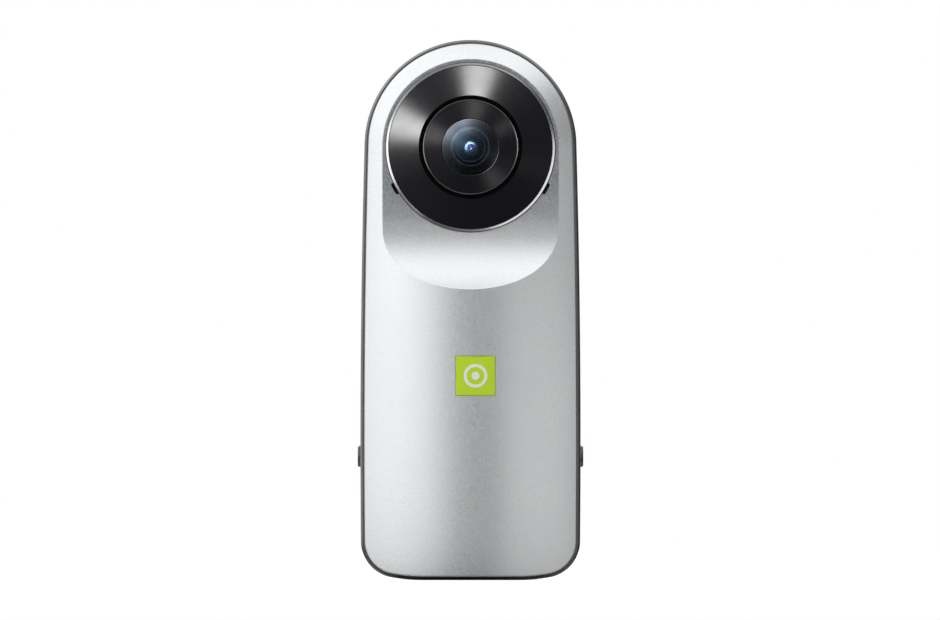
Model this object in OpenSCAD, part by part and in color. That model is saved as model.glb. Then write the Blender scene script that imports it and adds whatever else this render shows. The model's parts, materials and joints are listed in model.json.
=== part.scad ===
// Pocket 360 degree camera: a slim arched body with two back to back lenses.
// Millimetres, +Z up. The front looks along -Y and the origin is the middle of the base.

/* [Body outline] */
// Height of the body from the base to the crown of the arch
body_h = 97; // [95:0.5:100]
// Radius of the arched top
arch_r = 19.03; // [18.8:0.01:19.6]
// How much further out than the arch the bowed sides reach
side_bow = 0.74; // [0.6:0.02:1]
// Height at which the sides are widest
widest_z = 25; // [22:1:28]
// Half width of the flat base
base_flat = 8.5; // [8:0.1:9]
// Radius of the sweep that lifts the base towards its corners
base_r = 33; // [31:1:36]
// Radius of the lower corners
corner_r = 6.6; // [6.3:0.1:6.9]
// Half thickness of the body at the crown of a cover
crown_y = 10.2; // [10:0.1:10.8]
// Radius of the crowned covers
crown_r = 42; // [41:0.5:44]

/* [Frame] */
// Half thickness of the frame band at the seats of the covers
frame_seat = 4.9; // [4.8:0.05:5.2]
// Wall of the frame band
frame_wall = 1.7; // [1.6:0.05:1.8]
// Thickness of the lip that edges the frame
lip_t = 0.43; // [0.35:0.01:0.5]
// Height of that lip above the seat
lip_h = 0.5; // [0.3:0.05:0.6]
// Radius of the bosses that carry the chassis and the board
boss_r = 1.8; // [1.6:0.1:2]
// Height of those bosses
boss_h = 2.2; // [1.8:0.1:2.6]

/* [Covers] */
// Open groove between the lip and a cover
groove_w = 0.27; // [0.2:0.01:0.35]
// Wall of the covers
cover_wall = 1.4; // [1.2:0.05:1.5]
// Thickness of the gasket under each cover
gasket_t = 0.25; // [0.15:0.05:0.3]
// Half width of the flat floor around the lens
floor_half_w = 15.8; // [15.6:0.05:16]
// Drop from the lens axis to where the floor turns into the ramp
ramp_drop = 14.71; // [13.8:0.01:15.2]
// Radius of the hollow ramp below the lens
ramp_r = 20.2; // [19:0.2:22]
// Side of the square badge
badge_w = 7.1; // [6.5:0.1:7.5]
// Depth of the badge at its middle
badge_t = 0.7; // [0.6:0.05:0.9]
// Sideways place of the badge
badge_x = 0.9; // [0:0.1:1.2]
// Height of the badge
badge_z = 36.7; // [34:0.1:39]

/* [Lens] */
// Drop of the lens axis below the middle of the arch
lens_drop = 0.26; // [0:0.02:0.4]
// Reach of a dome's apex from the middle plane
dome_apex = 12.5; // [12.3:0.05:12.8]
// Radius of the dome's rim
dome_r = 5.05; // [4.9:0.05:5.2]
// Height of the dome above its rim
dome_rise = 1.95; // [1.8:0.05:2.05]
// Thickness of the dome at its middle
dome_t = 1.2; // [1:0.05:1.3]
// Outer radius of the bright ring
ring_r = 15.3; // [15.2:0.02:15.4]
// Radial width of the bright ring
ring_w = 0.65; // [0.55:0.05:0.7]
// Height of the bright ring above the floor
ring_h = 0.64; // [0.55:0.01:0.75]
// Outer radius of the black cone
shroud_r = 14.55; // [14.4:0.05:14.6]
// Inner radius of the black cone
shroud_in = 9.3; // [9.1:0.05:9.5]
// Height of the cone's inner edge above its outer edge
shroud_rise = 1.9; // [1.7:0.05:2]
// Wall of the cone
shroud_wall = 1.2; // [1:0.05:1.3]
// Radius of the lens barrel
barrel_r = 8.55; // [8.4:0.05:8.65]
// Rise of the barrel's sloped face from its edge to the dome
barrel_rise = 0.55; // [0.45:0.05:0.65]
// Thickness of the barrel's foot
foot_t = 1; // [0.8:0.1:1.2]
// Clear radius of the baffle behind the dome
baffle_in = 3.26; // [3:0.02:3.4]
// Thickness of the baffle
baffle_t = 0.5; // [0.4:0.05:0.6]
// Radius of the inner lens
inner_lens_r = 4.2; // [4:0.05:4.3]
// Edge thickness of the inner lens
inner_lens_t = 1.8; // [1.5:0.1:1.9]
// Radius of the field lens
field_lens_r = 3.3; // [3.1:0.05:3.4]
// Edge thickness of the field lens
field_lens_t = 1.7; // [1.5:0.1:1.8]
// Rise of the inner lenses above their edges
lens_rise = 0.5; // [0.4:0.05:0.55]
// Radius of the stop behind the field lens
stop_r = 2.6; // [2.4:0.05:2.7]
// Radius of the infrared filter
filter_r = 4.4; // [4.2:0.05:4.6]
// Thickness of the infrared filter
filter_t = 0.4; // [0.3:0.05:0.5]
// Side of the square image sensor
sensor_w = 8; // [7.6:0.1:8.4]
// Thickness of the image sensor
sensor_t = 0.8; // [0.6:0.05:0.9]

/* [Microphones] */
// Length of a microphone slot
mic_slot_l = 2.25; // [2:0.05:2.4]
// Width of a microphone slot
mic_slot_w = 0.8; // [0.7:0.05:0.85]
// Angle of the slots below the lens axis
mic_angle = 28.8; // [26:0.2:32]
// Radius of a microphone's rubber boot
mic_boot_r = 1.7; // [1.5:0.05:1.75]
// Thickness of a microphone's rubber boot
mic_boot_t = 1.1; // [0.9:0.1:1.3]
// Width of a microphone
mic_w = 1.9; // [1.7:0.1:2]
// Length of a microphone
mic_l = 2.7; // [2.4:0.1:2.8]
// Thickness of a microphone
mic_t = 0.9; // [0.8:0.1:1.1]

/* [Boards] */
// Thickness of the lens chassis
chassis_t = 1.2; // [1:0.1:1.4]
// Thickness of the circuit boards
board_t = 0.8; // [0.7:0.1:0.9]
// Length of the sensor boards' tab below the barrel's foot
tab_l = 2.3; // [2:0.1:2.6]
// Width of the sensor cables
cable_w = 7; // [5:0.5:7.5]
// Thickness of the sensor cables
cable_t = 0.15; // [0.1:0.01:0.2]
// Length of the cable connectors
connector_l = 3.4; // [3:0.1:3.8]
// Width of the shield can
shield_w = 22; // [20:0.5:23]
// Room above the shield can, up to the cable connectors
shield_head = 5.4; // [4.4:0.1:7.4]
// Height of the shield can
shield_h = 2.2; // [2:0.1:2.6]
// Width of the battery
battery_w = 25.6; // [24:0.2:26]
// Room above the battery, up to the upper edge of the main board
battery_head = 5.2; // [4.7:0.1:7.2]
// Thickness of the battery
battery_t = 5.4; // [5:0.1:5.6]
// Thickness of the battery's foam pad
pad_t = 0.3; // [0.2:0.05:0.4]
// Side of the square processor
processor_w = 12; // [11:0.5:12]
// Thickness of the processor
processor_t = 1.2; // [1:0.1:1.4]
// Width of the memory chip
memory_w = 4.6; // [4:0.1:4.8]
// Length of the memory chip
memory_l = 10; // [8:0.5:12]
// Thickness of the memory chip
memory_t = 1; // [0.8:0.1:1.2]
// Length of the chip antenna
antenna_l = 6.5; // [5:0.5:7]
// Width of the chip antenna
antenna_w = 2.5; // [2:0.1:2.6]
// Thickness of the chip antenna
antenna_t = 1; // [0.8:0.1:1.2]

/* [Buttons] */
// Height of the two side buttons above the base
button_z = 22.2; // [21.6:0.1:24]
// Height of a button's face
button_h = 3.8; // [3.4:0.1:4]
// Length of a button's face, front to back
button_l = 7; // [6.4:0.1:7.4]
// How far a button stands out of the side
button_out = 0.5; // [0.4:0.05:0.6]
// Thickness of the flange that keeps a button in
button_flange = 0.6; // [0.5:0.05:0.65]
// Width of that flange around the button
button_rim = 0.7; // [0.5:0.05:0.8]
// Travel of a button
button_travel = 0.3; // [0.2:0.05:0.35]
// Radius of a switch plunger
plunger_r = 0.75; // [0.65:0.05:0.9]
// Height of the status light above the buttons
light_rise = 7.8; // [7:0.1:9]
// Radius of the status light
light_r = 0.7; // [0.5:0.05:0.8]

/* [Base] */
// Radius of the tripod insert
insert_r = 3.6; // [3.4:0.05:3.65]
// Height of the tripod insert
insert_h = 7.5; // [7:0.1:8]
// Radius of the tripod thread at its crests, quarter inch with 20 threads
thread_r = 2.55; // [2.5:0.01:2.6]
// Depth of the tripod thread
thread_l = 5.8; // [5:0.1:6.2]
// Width of the insert's flange
insert_flange = 9.4; // [8.6:0.1:9.6]
// Thickness of the insert's flange
insert_flange_t = 0.8; // [0.7:0.05:1]
// Width of the charging socket's shell
usb_w = 8.94; // [8.9:0.01:9]
// Height of the charging socket's shell
usb_h = 3.26; // [3.2:0.01:3.3]
// Length of the charging socket's shell
usb_l = 7.35; // [7:0.05:7.6]
// Width of the memory card that the socket takes
card_w = 11; // [11:0.05:11.1]
// Thickness of the memory card that the socket takes
card_t = 0.75; // [0.7:0.05:0.8]
// Length of the card socket
socket_l = 14.8; // [14:0.1:15]
// Thickness of the port door
door_t = 1.2; // [1:0.05:1.25]
// Reach of the port door from its hinge
door_reach = 11.3; // [11.2:0.05:11.4]
// Thickness of the door's rubber pad
seal_t = 0.4; // [0.3:0.05:0.45]
// Radius of the hinge pin
pin_r = 0.35; // [0.3:0.01:0.38]
// Radius of the door's hinge barrel
knuckle_r = 0.68; // [0.64:0.01:0.7]

/* [Hidden] */
// Clearance of a piece that slides or turns
slide_gap = 0.1;
// Clearance of a piece that is set in place
set_gap = 0.05;
// Clearance of the hinge pin
pin_gap = 0.05;
// Clearance of a screw or pin in the hole that grips it
grip_gap = 0.02;
// Clearance round the port door
door_gap = 0.12;
// Clearance of the door's hinge barrel in the frame
knuckle_gap = 0.3;
// Room between a fixed piece and the frame wall
wall_gap = 0.3;
// Amount by which the straight runs sit inside the rounds they run into
ease = 0.04;
// Straight runs that follow each bowed side
side_steps = 5;
// Straight runs that follow each sweep of the base
base_steps = 3;
// Cut that is certain to pass right through
past = 30;
// How far a shorter cut runs past the face that it opens
over = 1;
// Radius of the screw shanks
screw_r = 0.7;
// Radius of the screw heads
screw_head_r = 1.25;
// Height of the screw heads
screw_head_h = 0.6;
// How far a screw ends short of the back of its boss
screw_short = 0.8;
// Radius of the circle of screws in a barrel's foot, and of the foot
lens_screw_ring = barrel_r + screw_head_r + slide_gap;
foot_r = lens_screw_ring + screw_head_r;
// Angles of the screws in a barrel's foot
lens_screw_angles = [30, 150, 270];
// Sides of a fine round, of a usual one and of a small one
fine = 200;
usual = 96;
small = 48;

// Outline: bowed sides, arched top, swept base and rounded corners
half_w = arch_r + side_bow;
arch_z = body_h - arch_r;
side_r = (pow(arch_z - widest_z, 2) + pow(half_w, 2) - pow(arch_r, 2)) / (2 * side_bow);
side_c = [half_w - side_r, widest_z];
base_c = [base_flat, base_r];
corner_c = crossing(base_c, base_r - corner_r + ease, side_c, side_r - corner_r);
sweep_end = heading(corner_c - base_c);
side_start = heading(corner_c - side_c);
side_end = asin((arch_z - widest_z) / side_r);

// Covers: seat, floor and ramp
cover_seat = frame_seat + gasket_t;
cover_inset = lip_t + groove_w;
floor_y = crown_y - crown_r + sqrt(pow(crown_r, 2) - pow(floor_half_w, 2));
floor_in = floor_y - cover_wall;
lens_z = arch_z - lens_drop;
ramp_z = lens_z - ramp_drop;

// Bosses: how far they run to the wall, sink into it and stay closed at the back
boss_reach = 2.6;
boss_sink = 0.4;
boss_floor = 0.5;

// Bright ring and cone: step for the cone, overhang and wall of the spigot, drop of the cone's edge
ring_step = 0.5;
ring_over = 1.2;
spigot_wall = 0.75;
shroud_drop = 0.1;
ring_top = floor_y + ring_h;
ring_ledge = ring_top - ring_step;
spigot_r = ring_r - ring_over;
spigot_in = spigot_r - spigot_wall;
shroud_edge = ring_top - shroud_drop;

// Lens stack, outwards from the middle plane, with the air between its pieces
filter_gap = 0.5;
stop_l = 1.1;
lens_gap = 0.2;
baffle_gap = 0.1;
chassis_y = chassis_t / 2;
sensor_board_y = chassis_y + board_t;
sensor_y = sensor_board_y + sensor_t;
filter_y = sensor_y + filter_t + filter_gap;
field_seat = filter_y + stop_l;
inner_seat = field_seat + field_lens_t + lens_rise + lens_gap;
baffle_seat = inner_seat + inner_lens_t + lens_rise + baffle_gap;
dome_seat = baffle_seat + baffle_t;
dome_rim = dome_apex - dome_rise;
dome_ball = ball_of(dome_r, dome_rise);

// Width of the dome's flat rim, and the hollow inside it
dome_edge = 0.85;
dome_hollow_r = dome_r - dome_edge;
dome_hollow = dome_apex - dome_t - dome_seat;
dome_hollow_ball = ball_of(dome_hollow_r, dome_hollow);

// Baffle: thickness of its inner edge, and how far its seat stays inside the dome's hollow
baffle_edge = 0.15;
baffle_lap = 0.2;

// Barrel, with its wall round the sensor
cavity_wall = 2.1;
barrel_top = dome_rim;
barrel_edge = barrel_top - barrel_rise;
cavity_r = barrel_r - cavity_wall;

// Microphones: how far the slots reach under the bright ring, the mesh and the boot's hole
mic_under = 0.3;
mic_ring = ring_r + mic_slot_w / 2 - mic_under;
mic_mesh_t = 0.1;
mic_mesh_r = mic_boot_r - 0.2;
mic_hole_r = 0.5;
mic_boot_y = floor_in - mic_mesh_t;

// Lens chassis and main board: gaps to the ramp, to each other and to the wall
chassis_drop = 1.5;
board_gap = 1.3;
board_room = 1.2;
mouth_rise = 0.7;
board_rise = 0.8;
board_y = board_t / 2;
chassis_z = ramp_z - chassis_drop;
board_top = chassis_z - board_gap;
board_inset = frame_wall + board_room;
mouth_z = frame_wall + mouth_rise;
board_low = mouth_z + board_rise;

// Sensor boards and cables: rim past the foot, sides of the tab, hold of a cable at its ends
board_rim = 0.3;
tab_side = 0.5;
cable_hold = 0.4;
connector_gap = 0.6;
connector_z = board_top - connector_l - connector_gap;
tab_z = lens_z - foot_r - tab_l;

// Card socket, and the room that a card has in it
socket_rise = 1.4;
socket_wall = 0.2;
socket_back = 1;
card_side = 0.5;
card_room = 0.65;
socket_z = mouth_z + socket_rise;
socket_w = card_w + card_side;
socket_h = card_t + card_room;

// Battery behind the main board, with its pad
battery_gap = 0.4;
pad_inset = 1;
battery_y = board_y + pad_t;
battery_z = socket_z + socket_l + battery_gap;
battery_l = board_top - battery_head - battery_z;

// Shield can on the front of the main board, with the chips beside each other in it
shield_rise = 4.8;
shield_wall = 0.2;
chip_gap = 1.2;
shield_z = battery_z + shield_rise;
shield_l = connector_z - shield_head - shield_z;
shield_middle = shield_z + shield_l / 2;
chips_x = -(processor_w + chip_gap + memory_w) / 2;
memory_x = chips_x + processor_w + chip_gap;

// Chip antenna in the upper corner of the main board
antenna_gap = 1.5;
antenna_x = cable_w / 2 + 2.5;

// Bosses of the main board, the middle one beside the battery, and of the chassis along the arch
boss_gap = 0.47;
low_boss_rise = 1;
mid_boss_rise = 11.8;
top_boss_drop = 3.2;
chassis_boss_rise = 3;
chassis_boss_angle = 48;
boss_x = half_w - board_inset - boss_r;
mid_boss_x = battery_w / 2 + boss_gap + boss_r;
mid_boss_z = button_z + mid_boss_rise;
chassis_boss_z = chassis_z + chassis_boss_rise;
chassis_boss_ring = arch_r - frame_wall - boss_r - wall_gap;

// Places of the board's bosses, as x and z
board_bosses = [
  [-boss_x, corner_c[1] + low_boss_rise],
  [mid_boss_x, mid_boss_z],
  [-boss_x, board_top - top_boss_drop],
  [boss_x, board_top - top_boss_drop]
];

// Places of the chassis bosses, as x, z and the way to the wall
chassis_bosses = [
  [boss_x, chassis_boss_z, 0],
  [-boss_x, chassis_boss_z, 180],
  for (a = [chassis_boss_angle, 180 - chassis_boss_angle])
    [chassis_boss_ring * cos(a), arch_z + chassis_boss_ring * sin(a), a]
];

// Tripod insert: how far its flange stays inside the frame
flange_room = 0.6;

// Port door: its hinge beside the insert, and its edges beside the ports
hinge_gap = 1.6;
knuckle_rise = 0.02;
usb_side = 0.24;
card_past = 0.8;
socket_shift = 0.25;
pivot_x = insert_r + hinge_gap;
pivot_z = knuckle_r + knuckle_rise;
door_y = [-board_y - usb_h - usb_side, board_y + socket_h + card_past];
socket_x = pivot_x - socket_shift;
usb_x = pivot_x;

// Hinge pin's seats in the frame, and the fingernail notch at the door's free end
pin_seat = 0.6;
notch_r = 0.9;
notch_off = 0.3;
notch_l = 2.4;

// Pad on the door: its margins at the sides, at the hinge and at the free end
seal_side = 0.5;
seal_hinge = 1.2;
seal_end = 0.8;

// Charging socket: wall, back and the tongue inside it
usb_wall = 0.3;
usb_back = 1;
tongue_side = 1.1;
tongue_t = 0.7;
tongue_sink = 0.6;
tongue_root = 0.5;

// Buttons and switches: gap behind the wall, room for the switch, hold of the plunger in it
flange_gap = 0.16;
switch_room = 4;
switch_l = 2.4;
switch_h = 3.6;
plunger_hold = 0.4;
plunger_room = 0.9;
side_x = side_at(button_z);
switch_x = side_x - frame_wall - switch_room;
switch_far = switch_x + switch_l;
switch_y = battery_y - slide_gap - switch_h / 2;
flange_x = side_x - frame_wall - flange_gap;
plunger_x = flange_x - button_flange;
plunger_l = plunger_x - switch_far + button_travel + plunger_hold;
plunger_bore = button_travel * 2 + plunger_room;

// Status light: how far it is sunk, its flange, and the lamp behind it
light_sink = 0.1;
light_flange_t = 0.6;
light_flange = 0.4;
led_w = 1.6;
led_past = 0.5;
light_z = button_z + light_rise;
light_x = side_at(light_z);
light_y = board_y + light_r + set_gap;
light_in = light_x - frame_wall - light_sink;

// Direction of a vector, in degrees
function heading(v) = atan2(v[1], v[0]);

// Left hand crossing of two circles, seen from p towards q
function crossing(p, rp, q, rq) =
  let (d = norm(q - p))
  let (a = (rp * rp - rq * rq + d * d) / (2 * d))
  let (u = (q - p) / d)
  p + a * u + sqrt(rp * rp - a * a) * [-u[1], u[0]];

// Points along an arc
function arc(c, r, a0, a1, steps) = [
  for (i = [0:steps])
    let (a = a0 + (a1 - a0) * i / steps)
    c + r * [cos(a), sin(a)]
];

// Radius of the ball whose cap has a given rim and rise
function ball_of(rim, rise) = (pow(rim, 2) + pow(rise, 2)) / (2 * rise);

// Half width of the body at a height on its bowed sides
function side_at(z) = side_c[0] + sqrt(pow(side_r, 2) - pow(z - widest_z, 2));

// Right half of the outline below the arch, drawn in by an inset
function right_run(inset) = concat(
  arc(base_c, base_r - inset, -90, sweep_end, base_steps),
  arc(side_c, side_r - inset - ease, side_start, side_end, side_steps)
);

// The same points on the left, from the arch back down to the base
function left_run(inset) =
  let (run = right_run(inset))
  [for (i = [len(run) - 1:-1:0]) [-run[i][0], run[i][1]]];

// Outline of the body, drawn in by an inset
module outline(inset) {
  polygon(concat(right_run(inset), left_run(inset)));
  translate([0, arch_z])
    circle(r = arch_r - inset, $fn = fine);
  translate(corner_c)
    circle(r = corner_r - inset, $fn = usual);
  translate([-corner_c[0], corner_c[1]])
    circle(r = corner_r - inset, $fn = usual);
}

// Slab of an upright drawing between two depths
module slab(y0, y1) {
  translate([0, y1, 0])
    rotate([90, 0, 0])
      linear_extrude(y1 - y0)
        children();
}

// Upright rectangle, for drawings of slabs
module panel(x0, x1, z0, z1) {
  translate([x0, z0])
    square([x1 - x0, z1 - z0]);
}

// Box between two corners
module block(low, high) {
  translate(low)
    cube(high - low);
}

// Round bar along the depth
module rod_y(x, z, r, y0, y1) {
  translate([x, y1, z])
    rotate([90, 0, 0])
      cylinder(r = r, h = y1 - y0, $fn = small);
}

// Piece turned about the front lens axis, from a drawing of radius and depth
module turned() {
  translate([0, 0, lens_z])
    rotate([90, 0, 0])
      rotate_extrude($fn = fine)
        children();
}

// Puts a front piece on the back
module behind() {
  mirror([0, 1, 0])
    children();
}

// Puts a right hand piece on the left
module on_left() {
  mirror([1, 0, 0])
    children();
}

// Screw pointing backwards, with its seat at depth y
module screw(x, y, z, shank) {
  rod_y(x, z, screw_head_r, y - screw_head_h, y);
  rod_y(x, z, screw_r, y, y + shank);
}

// Round front of a cover without its scoop, at a distance under the surface
module crown(under) {
  r = crown_r - under;
  translate([0, crown_r - crown_y, 0])
    rotate_extrude($fn = fine)
      intersection() {
        translate([0, -past])
          square([r, body_h + 2 * past]);
        union() {
          translate([0, arch_z])
            circle(r = r, $fn = fine);
          translate([0, -past])
            square([r, arch_z + past]);
        }
      }
}

// Room cut out of a cover round its lens: flat floor above, hollow ramp below
module scoop(under) {
  translate([-past, -floor_y - ramp_r, ramp_z])
    rotate([0, 90, 0])
      cylinder(r = ramp_r + under, h = 2 * past, $fn = fine);
  block([-past, -floor_y - 2 * past, ramp_z], [past, -floor_y + under, body_h + past]);
}

// Solid of a cover from a seat outwards, at a distance under the surface
module cover_solid(inset, seat, under) {
  difference() {
    intersection() {
      slab(-crown_y - over, -seat)
        outline(inset);
      crown(under);
    }
    scoop(under);
  }
}

// Runs its children at each microphone slot of the front
module at_mics(r) {
  for (a = [-mic_angle, 180 + mic_angle])
    translate([r * cos(a), 0, lens_z + r * sin(a)])
      rotate([0, -a, 0])
        children();
}

module mic_slots() {
  straight = mic_slot_l - mic_slot_w;
  at_mics(mic_ring) {
    block([-mic_slot_w / 2, -past, -straight / 2], [mic_slot_w / 2, 0, straight / 2]);
    for (z = [-straight / 2, straight / 2])
      rod_y(0, z, mic_slot_w / 2, -past, 0);
  }
}

module badge_room(gap) {
  side = badge_w / 2 + gap;
  block(
    [badge_x - side, -crown_y - over, badge_z - side],
    [badge_x + side, -crown_y + badge_t, badge_z + side]
  );
}

module cover_shell() {
  difference() {
    cover_solid(cover_inset, cover_seat, 0);
    cover_solid(cover_inset + cover_wall, cover_seat - over, cover_wall);
    rod_y(0, lens_z, spigot_r + slide_gap, -crown_y, 0);
    mic_slots();
  }
}

module front_cover() {
  color("silver")
    difference() {
      cover_shell();
      badge_room(set_gap);
    }
}

module rear_cover() {
  color("silver")
    behind()
      cover_shell();
}

module gasket() {
  slab(-cover_seat, -frame_seat)
    difference() {
      outline(cover_inset + set_gap);
      outline(frame_wall - set_gap);
    }
}

module front_gasket() {
  color("black")
    gasket();
}

module rear_gasket() {
  color("black")
    behind()
      gasket();
}

module badge() {
  color("yellowgreen")
    intersection() {
      crown(0);
      badge_room(0);
    }
}

// Boss on the inside of the frame, standing behind a seat and joined to the wall
module boss(x, z, toward, seat) {
  difference() {
    union() {
      rod_y(x, z, boss_r, seat, seat + boss_h);
      intersection() {
        translate([x, seat, z])
          rotate([0, -toward, 0])
            block([0, 0, -boss_r], [boss_r + boss_reach, boss_h, boss_r]);
        slab(seat, seat + boss_h)
          outline(frame_wall - boss_sink);
      }
    }
    rod_y(x, z, screw_r + grip_gap, seat - over, seat + boss_h - boss_floor);
  }
}

// Rounded slot across X, for the buttons
module pill_x(x0, x1, h, l, z) {
  straight = (l - h) / 2;
  block([x0, -straight, z - h / 2], [x1, straight, z + h / 2]);
  for (y = [-straight, straight])
    translate([x0, y, z])
      rotate([0, 90, 0])
        cylinder(r = h / 2, h = x1 - x0, $fn = small);
}

// Round bar along X
module rod_x(x0, x1, r, y, z) {
  translate([x0, y, z])
    rotate([0, 90, 0])
      cylinder(r = r, h = x1 - x0, $fn = small);
}

// Everything that the port door sweeps, grown by a gap
module door_room(gap) {
  intersection() {
    rod_y(pivot_x, pivot_z, door_reach + gap, door_y[0] - gap, door_y[1] + gap);
    block([pivot_x, door_y[0] - gap, -over], [half_w, door_y[1] + gap, corner_r]);
  }
}

module mid_frame() {
  color("dimgray")
    difference() {
      union() {
        slab(-frame_seat, frame_seat)
          difference() {
            outline(0);
            outline(frame_wall);
          }
        slab(-frame_seat - lip_h, frame_seat + lip_h)
          difference() {
            outline(0);
            outline(lip_t);
          }
        for (b = board_bosses)
          boss(b[0], b[1], b[0] > 0 ? 0 : 180, board_y);
        for (b = chassis_bosses)
          boss(b[0], b[1], b[2], chassis_y);
      }
      for (s = [0, 1])
        mirror([s, 0, 0])
          pill_x(
            flange_x - over, half_w + over,
            button_h + 2 * slide_gap, button_l + 2 * slide_gap, button_z
          );
      rod_x(-half_w - over, -light_x + frame_wall + over, light_r + set_gap, -light_y, light_z);
      translate([0, 0, -over])
        cylinder(r = insert_r + set_gap, h = frame_wall + 2 * over, $fn = usual);
      door_room(door_gap);
      rod_y(pivot_x, pivot_z, knuckle_r + knuckle_gap, door_y[0] - door_gap, door_y[1] + door_gap);
      rod_y(pivot_x, pivot_z, pin_r + grip_gap, door_y[0] - pin_seat, door_y[1] + pin_seat);
      nail_notch();
    }
}

// Scoop for a fingernail at the free end of the port door
module nail_notch() {
  middle = (door_y[0] + door_y[1]) / 2;
  rod_y(
    pivot_x + door_reach + notch_off, pivot_z + notch_off, notch_r,
    middle - notch_l / 2, middle + notch_l / 2
  );
}

module lens_ring() {
  turned()
    polygon([
      [spigot_in, floor_in],
      [spigot_r, floor_in],
      [spigot_r, floor_y],
      [ring_r, floor_y],
      [ring_r, ring_top],
      [ring_r - ring_w, ring_top],
      [ring_r - ring_w, ring_ledge],
      [spigot_in, ring_ledge]
    ]);
}

module lens_shroud() {
  slope = shroud_rise / (shroud_r - shroud_in);
  lip = spigot_in - slide_gap;
  lip_top = shroud_edge + slope * (shroud_r - lip);
  turned()
    polygon([
      [shroud_r, ring_ledge],
      [shroud_r, shroud_edge],
      [shroud_in, shroud_edge + shroud_rise],
      [shroud_in, shroud_edge + shroud_rise - shroud_wall],
      [lip, lip_top - shroud_wall],
      [lip, ring_ledge]
    ]);
}

module lens_barrel() {
  difference() {
    turned()
      polygon([
        [foot_r, sensor_board_y],
        [foot_r, sensor_board_y + foot_t],
        [barrel_r, sensor_board_y + foot_t],
        [barrel_r, barrel_edge],
        [dome_r + set_gap, barrel_top],
        [dome_r + set_gap, baffle_seat],
        [inner_lens_r + set_gap, baffle_seat],
        [inner_lens_r + set_gap, inner_seat],
        [field_lens_r + set_gap, inner_seat],
        [field_lens_r + set_gap, field_seat],
        [stop_r, field_seat],
        [stop_r, filter_y],
        [filter_r + set_gap, filter_y],
        [filter_r + set_gap, filter_y - filter_t],
        [cavity_r, filter_y - filter_t],
        [cavity_r, sensor_board_y]
      ]);
    lens_screw_holes();
  }
}

// Holes for the screws in the barrel's foot, from the foot to the middle plane
module lens_screw_holes() {
  for (a = lens_screw_angles)
    rod_y(
      lens_screw_ring * cos(a), lens_z + lens_screw_ring * sin(a), screw_r + grip_gap,
      -sensor_board_y - foot_t - over, 0
    );
}

module dome_glass() {
  turned()
    difference() {
      intersection() {
        translate([0, dome_apex - dome_ball])
          circle(r = dome_ball, $fn = fine);
        translate([0, dome_seat])
          square([dome_r, dome_apex]);
      }
      translate([0, dome_apex - dome_t - dome_hollow_ball])
        circle(r = dome_hollow_ball, $fn = fine);
    }
}

module baffle_ring() {
  turned()
    polygon([
      [dome_r, baffle_seat],
      [dome_r, dome_seat],
      [dome_hollow_r - baffle_lap, dome_seat],
      [baffle_in, baffle_seat + baffle_edge],
      [baffle_in, baffle_seat]
    ]);
}

// Lens with a flat back, a straight edge and a round front
module round_lens(r, seat, edge) {
  ball = ball_of(r, lens_rise);
  turned()
    intersection() {
      translate([0, seat + edge + lens_rise - ball])
        circle(r = ball, $fn = fine);
      translate([0, seat])
        square([r, edge + lens_rise]);
    }
}

module inner_lens() {
  round_lens(inner_lens_r, inner_seat, inner_lens_t);
}

module field_lens() {
  round_lens(field_lens_r, field_seat, field_lens_t);
}

module ir_filter() {
  rod_y(0, lens_z, filter_r, -filter_y, -filter_y + filter_t);
}

module image_sensor() {
  side = sensor_w / 2;
  block([-side, -sensor_y, lens_z - side], [side, -sensor_board_y, lens_z + side]);
}

module sensor_board() {
  tab = cable_w / 2 + tab_side;
  difference() {
    union() {
      rod_y(0, lens_z, foot_r + board_rim, -sensor_board_y, -chassis_y);
      block([-tab, -sensor_board_y, tab_z], [tab, -chassis_y, lens_z]);
    }
    lens_screw_holes();
  }
}

module lens_screw_set() {
  seat = sensor_board_y + foot_t;
  for (a = lens_screw_angles)
    screw(lens_screw_ring * cos(a), -seat, lens_z + lens_screw_ring * sin(a), seat - set_gap);
}

module front_lens_ring() {
  color("gainsboro")
    lens_ring();
}

module rear_lens_ring() {
  color("gainsboro")
    behind()
      lens_ring();
}

module front_lens_shroud() {
  color("black")
    lens_shroud();
}

module rear_lens_shroud() {
  color("black")
    behind()
      lens_shroud();
}

module front_lens_barrel() {
  color("darkslategray")
    lens_barrel();
}

module rear_lens_barrel() {
  color("darkslategray")
    behind()
      lens_barrel();
}

module front_dome_glass() {
  color("lightcyan", 0.4)
    dome_glass();
}

module rear_dome_glass() {
  color("lightcyan", 0.4)
    behind()
      dome_glass();
}

module front_baffle_ring() {
  color("black")
    baffle_ring();
}

module rear_baffle_ring() {
  color("black")
    behind()
      baffle_ring();
}

module front_inner_lens() {
  color("mediumpurple", 0.5)
    inner_lens();
}

module rear_inner_lens() {
  color("mediumpurple", 0.5)
    behind()
      inner_lens();
}

module front_field_lens() {
  color("lightblue", 0.5)
    field_lens();
}

module rear_field_lens() {
  color("lightblue", 0.5)
    behind()
      field_lens();
}

module front_ir_filter() {
  color("palegreen", 0.5)
    ir_filter();
}

module rear_ir_filter() {
  color("palegreen", 0.5)
    behind()
      ir_filter();
}

module front_image_sensor() {
  color("darkolivegreen")
    image_sensor();
}

module rear_image_sensor() {
  color("darkolivegreen")
    behind()
      image_sensor();
}

module front_sensor_board() {
  color("green")
    sensor_board();
}

module rear_sensor_board() {
  color("green")
    behind()
      sensor_board();
}

module lens_screws() {
  color("gray") {
    lens_screw_set();
    behind()
      lens_screw_set();
  }
}

// Draws a set of microphone pieces on both sides
module both_sides() {
  children();
  behind()
    children();
}

module mic_meshes() {
  color("black")
    both_sides()
      at_mics(mic_ring)
        rod_y(0, 0, mic_mesh_r, -floor_in, -mic_boot_y);
}

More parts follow.
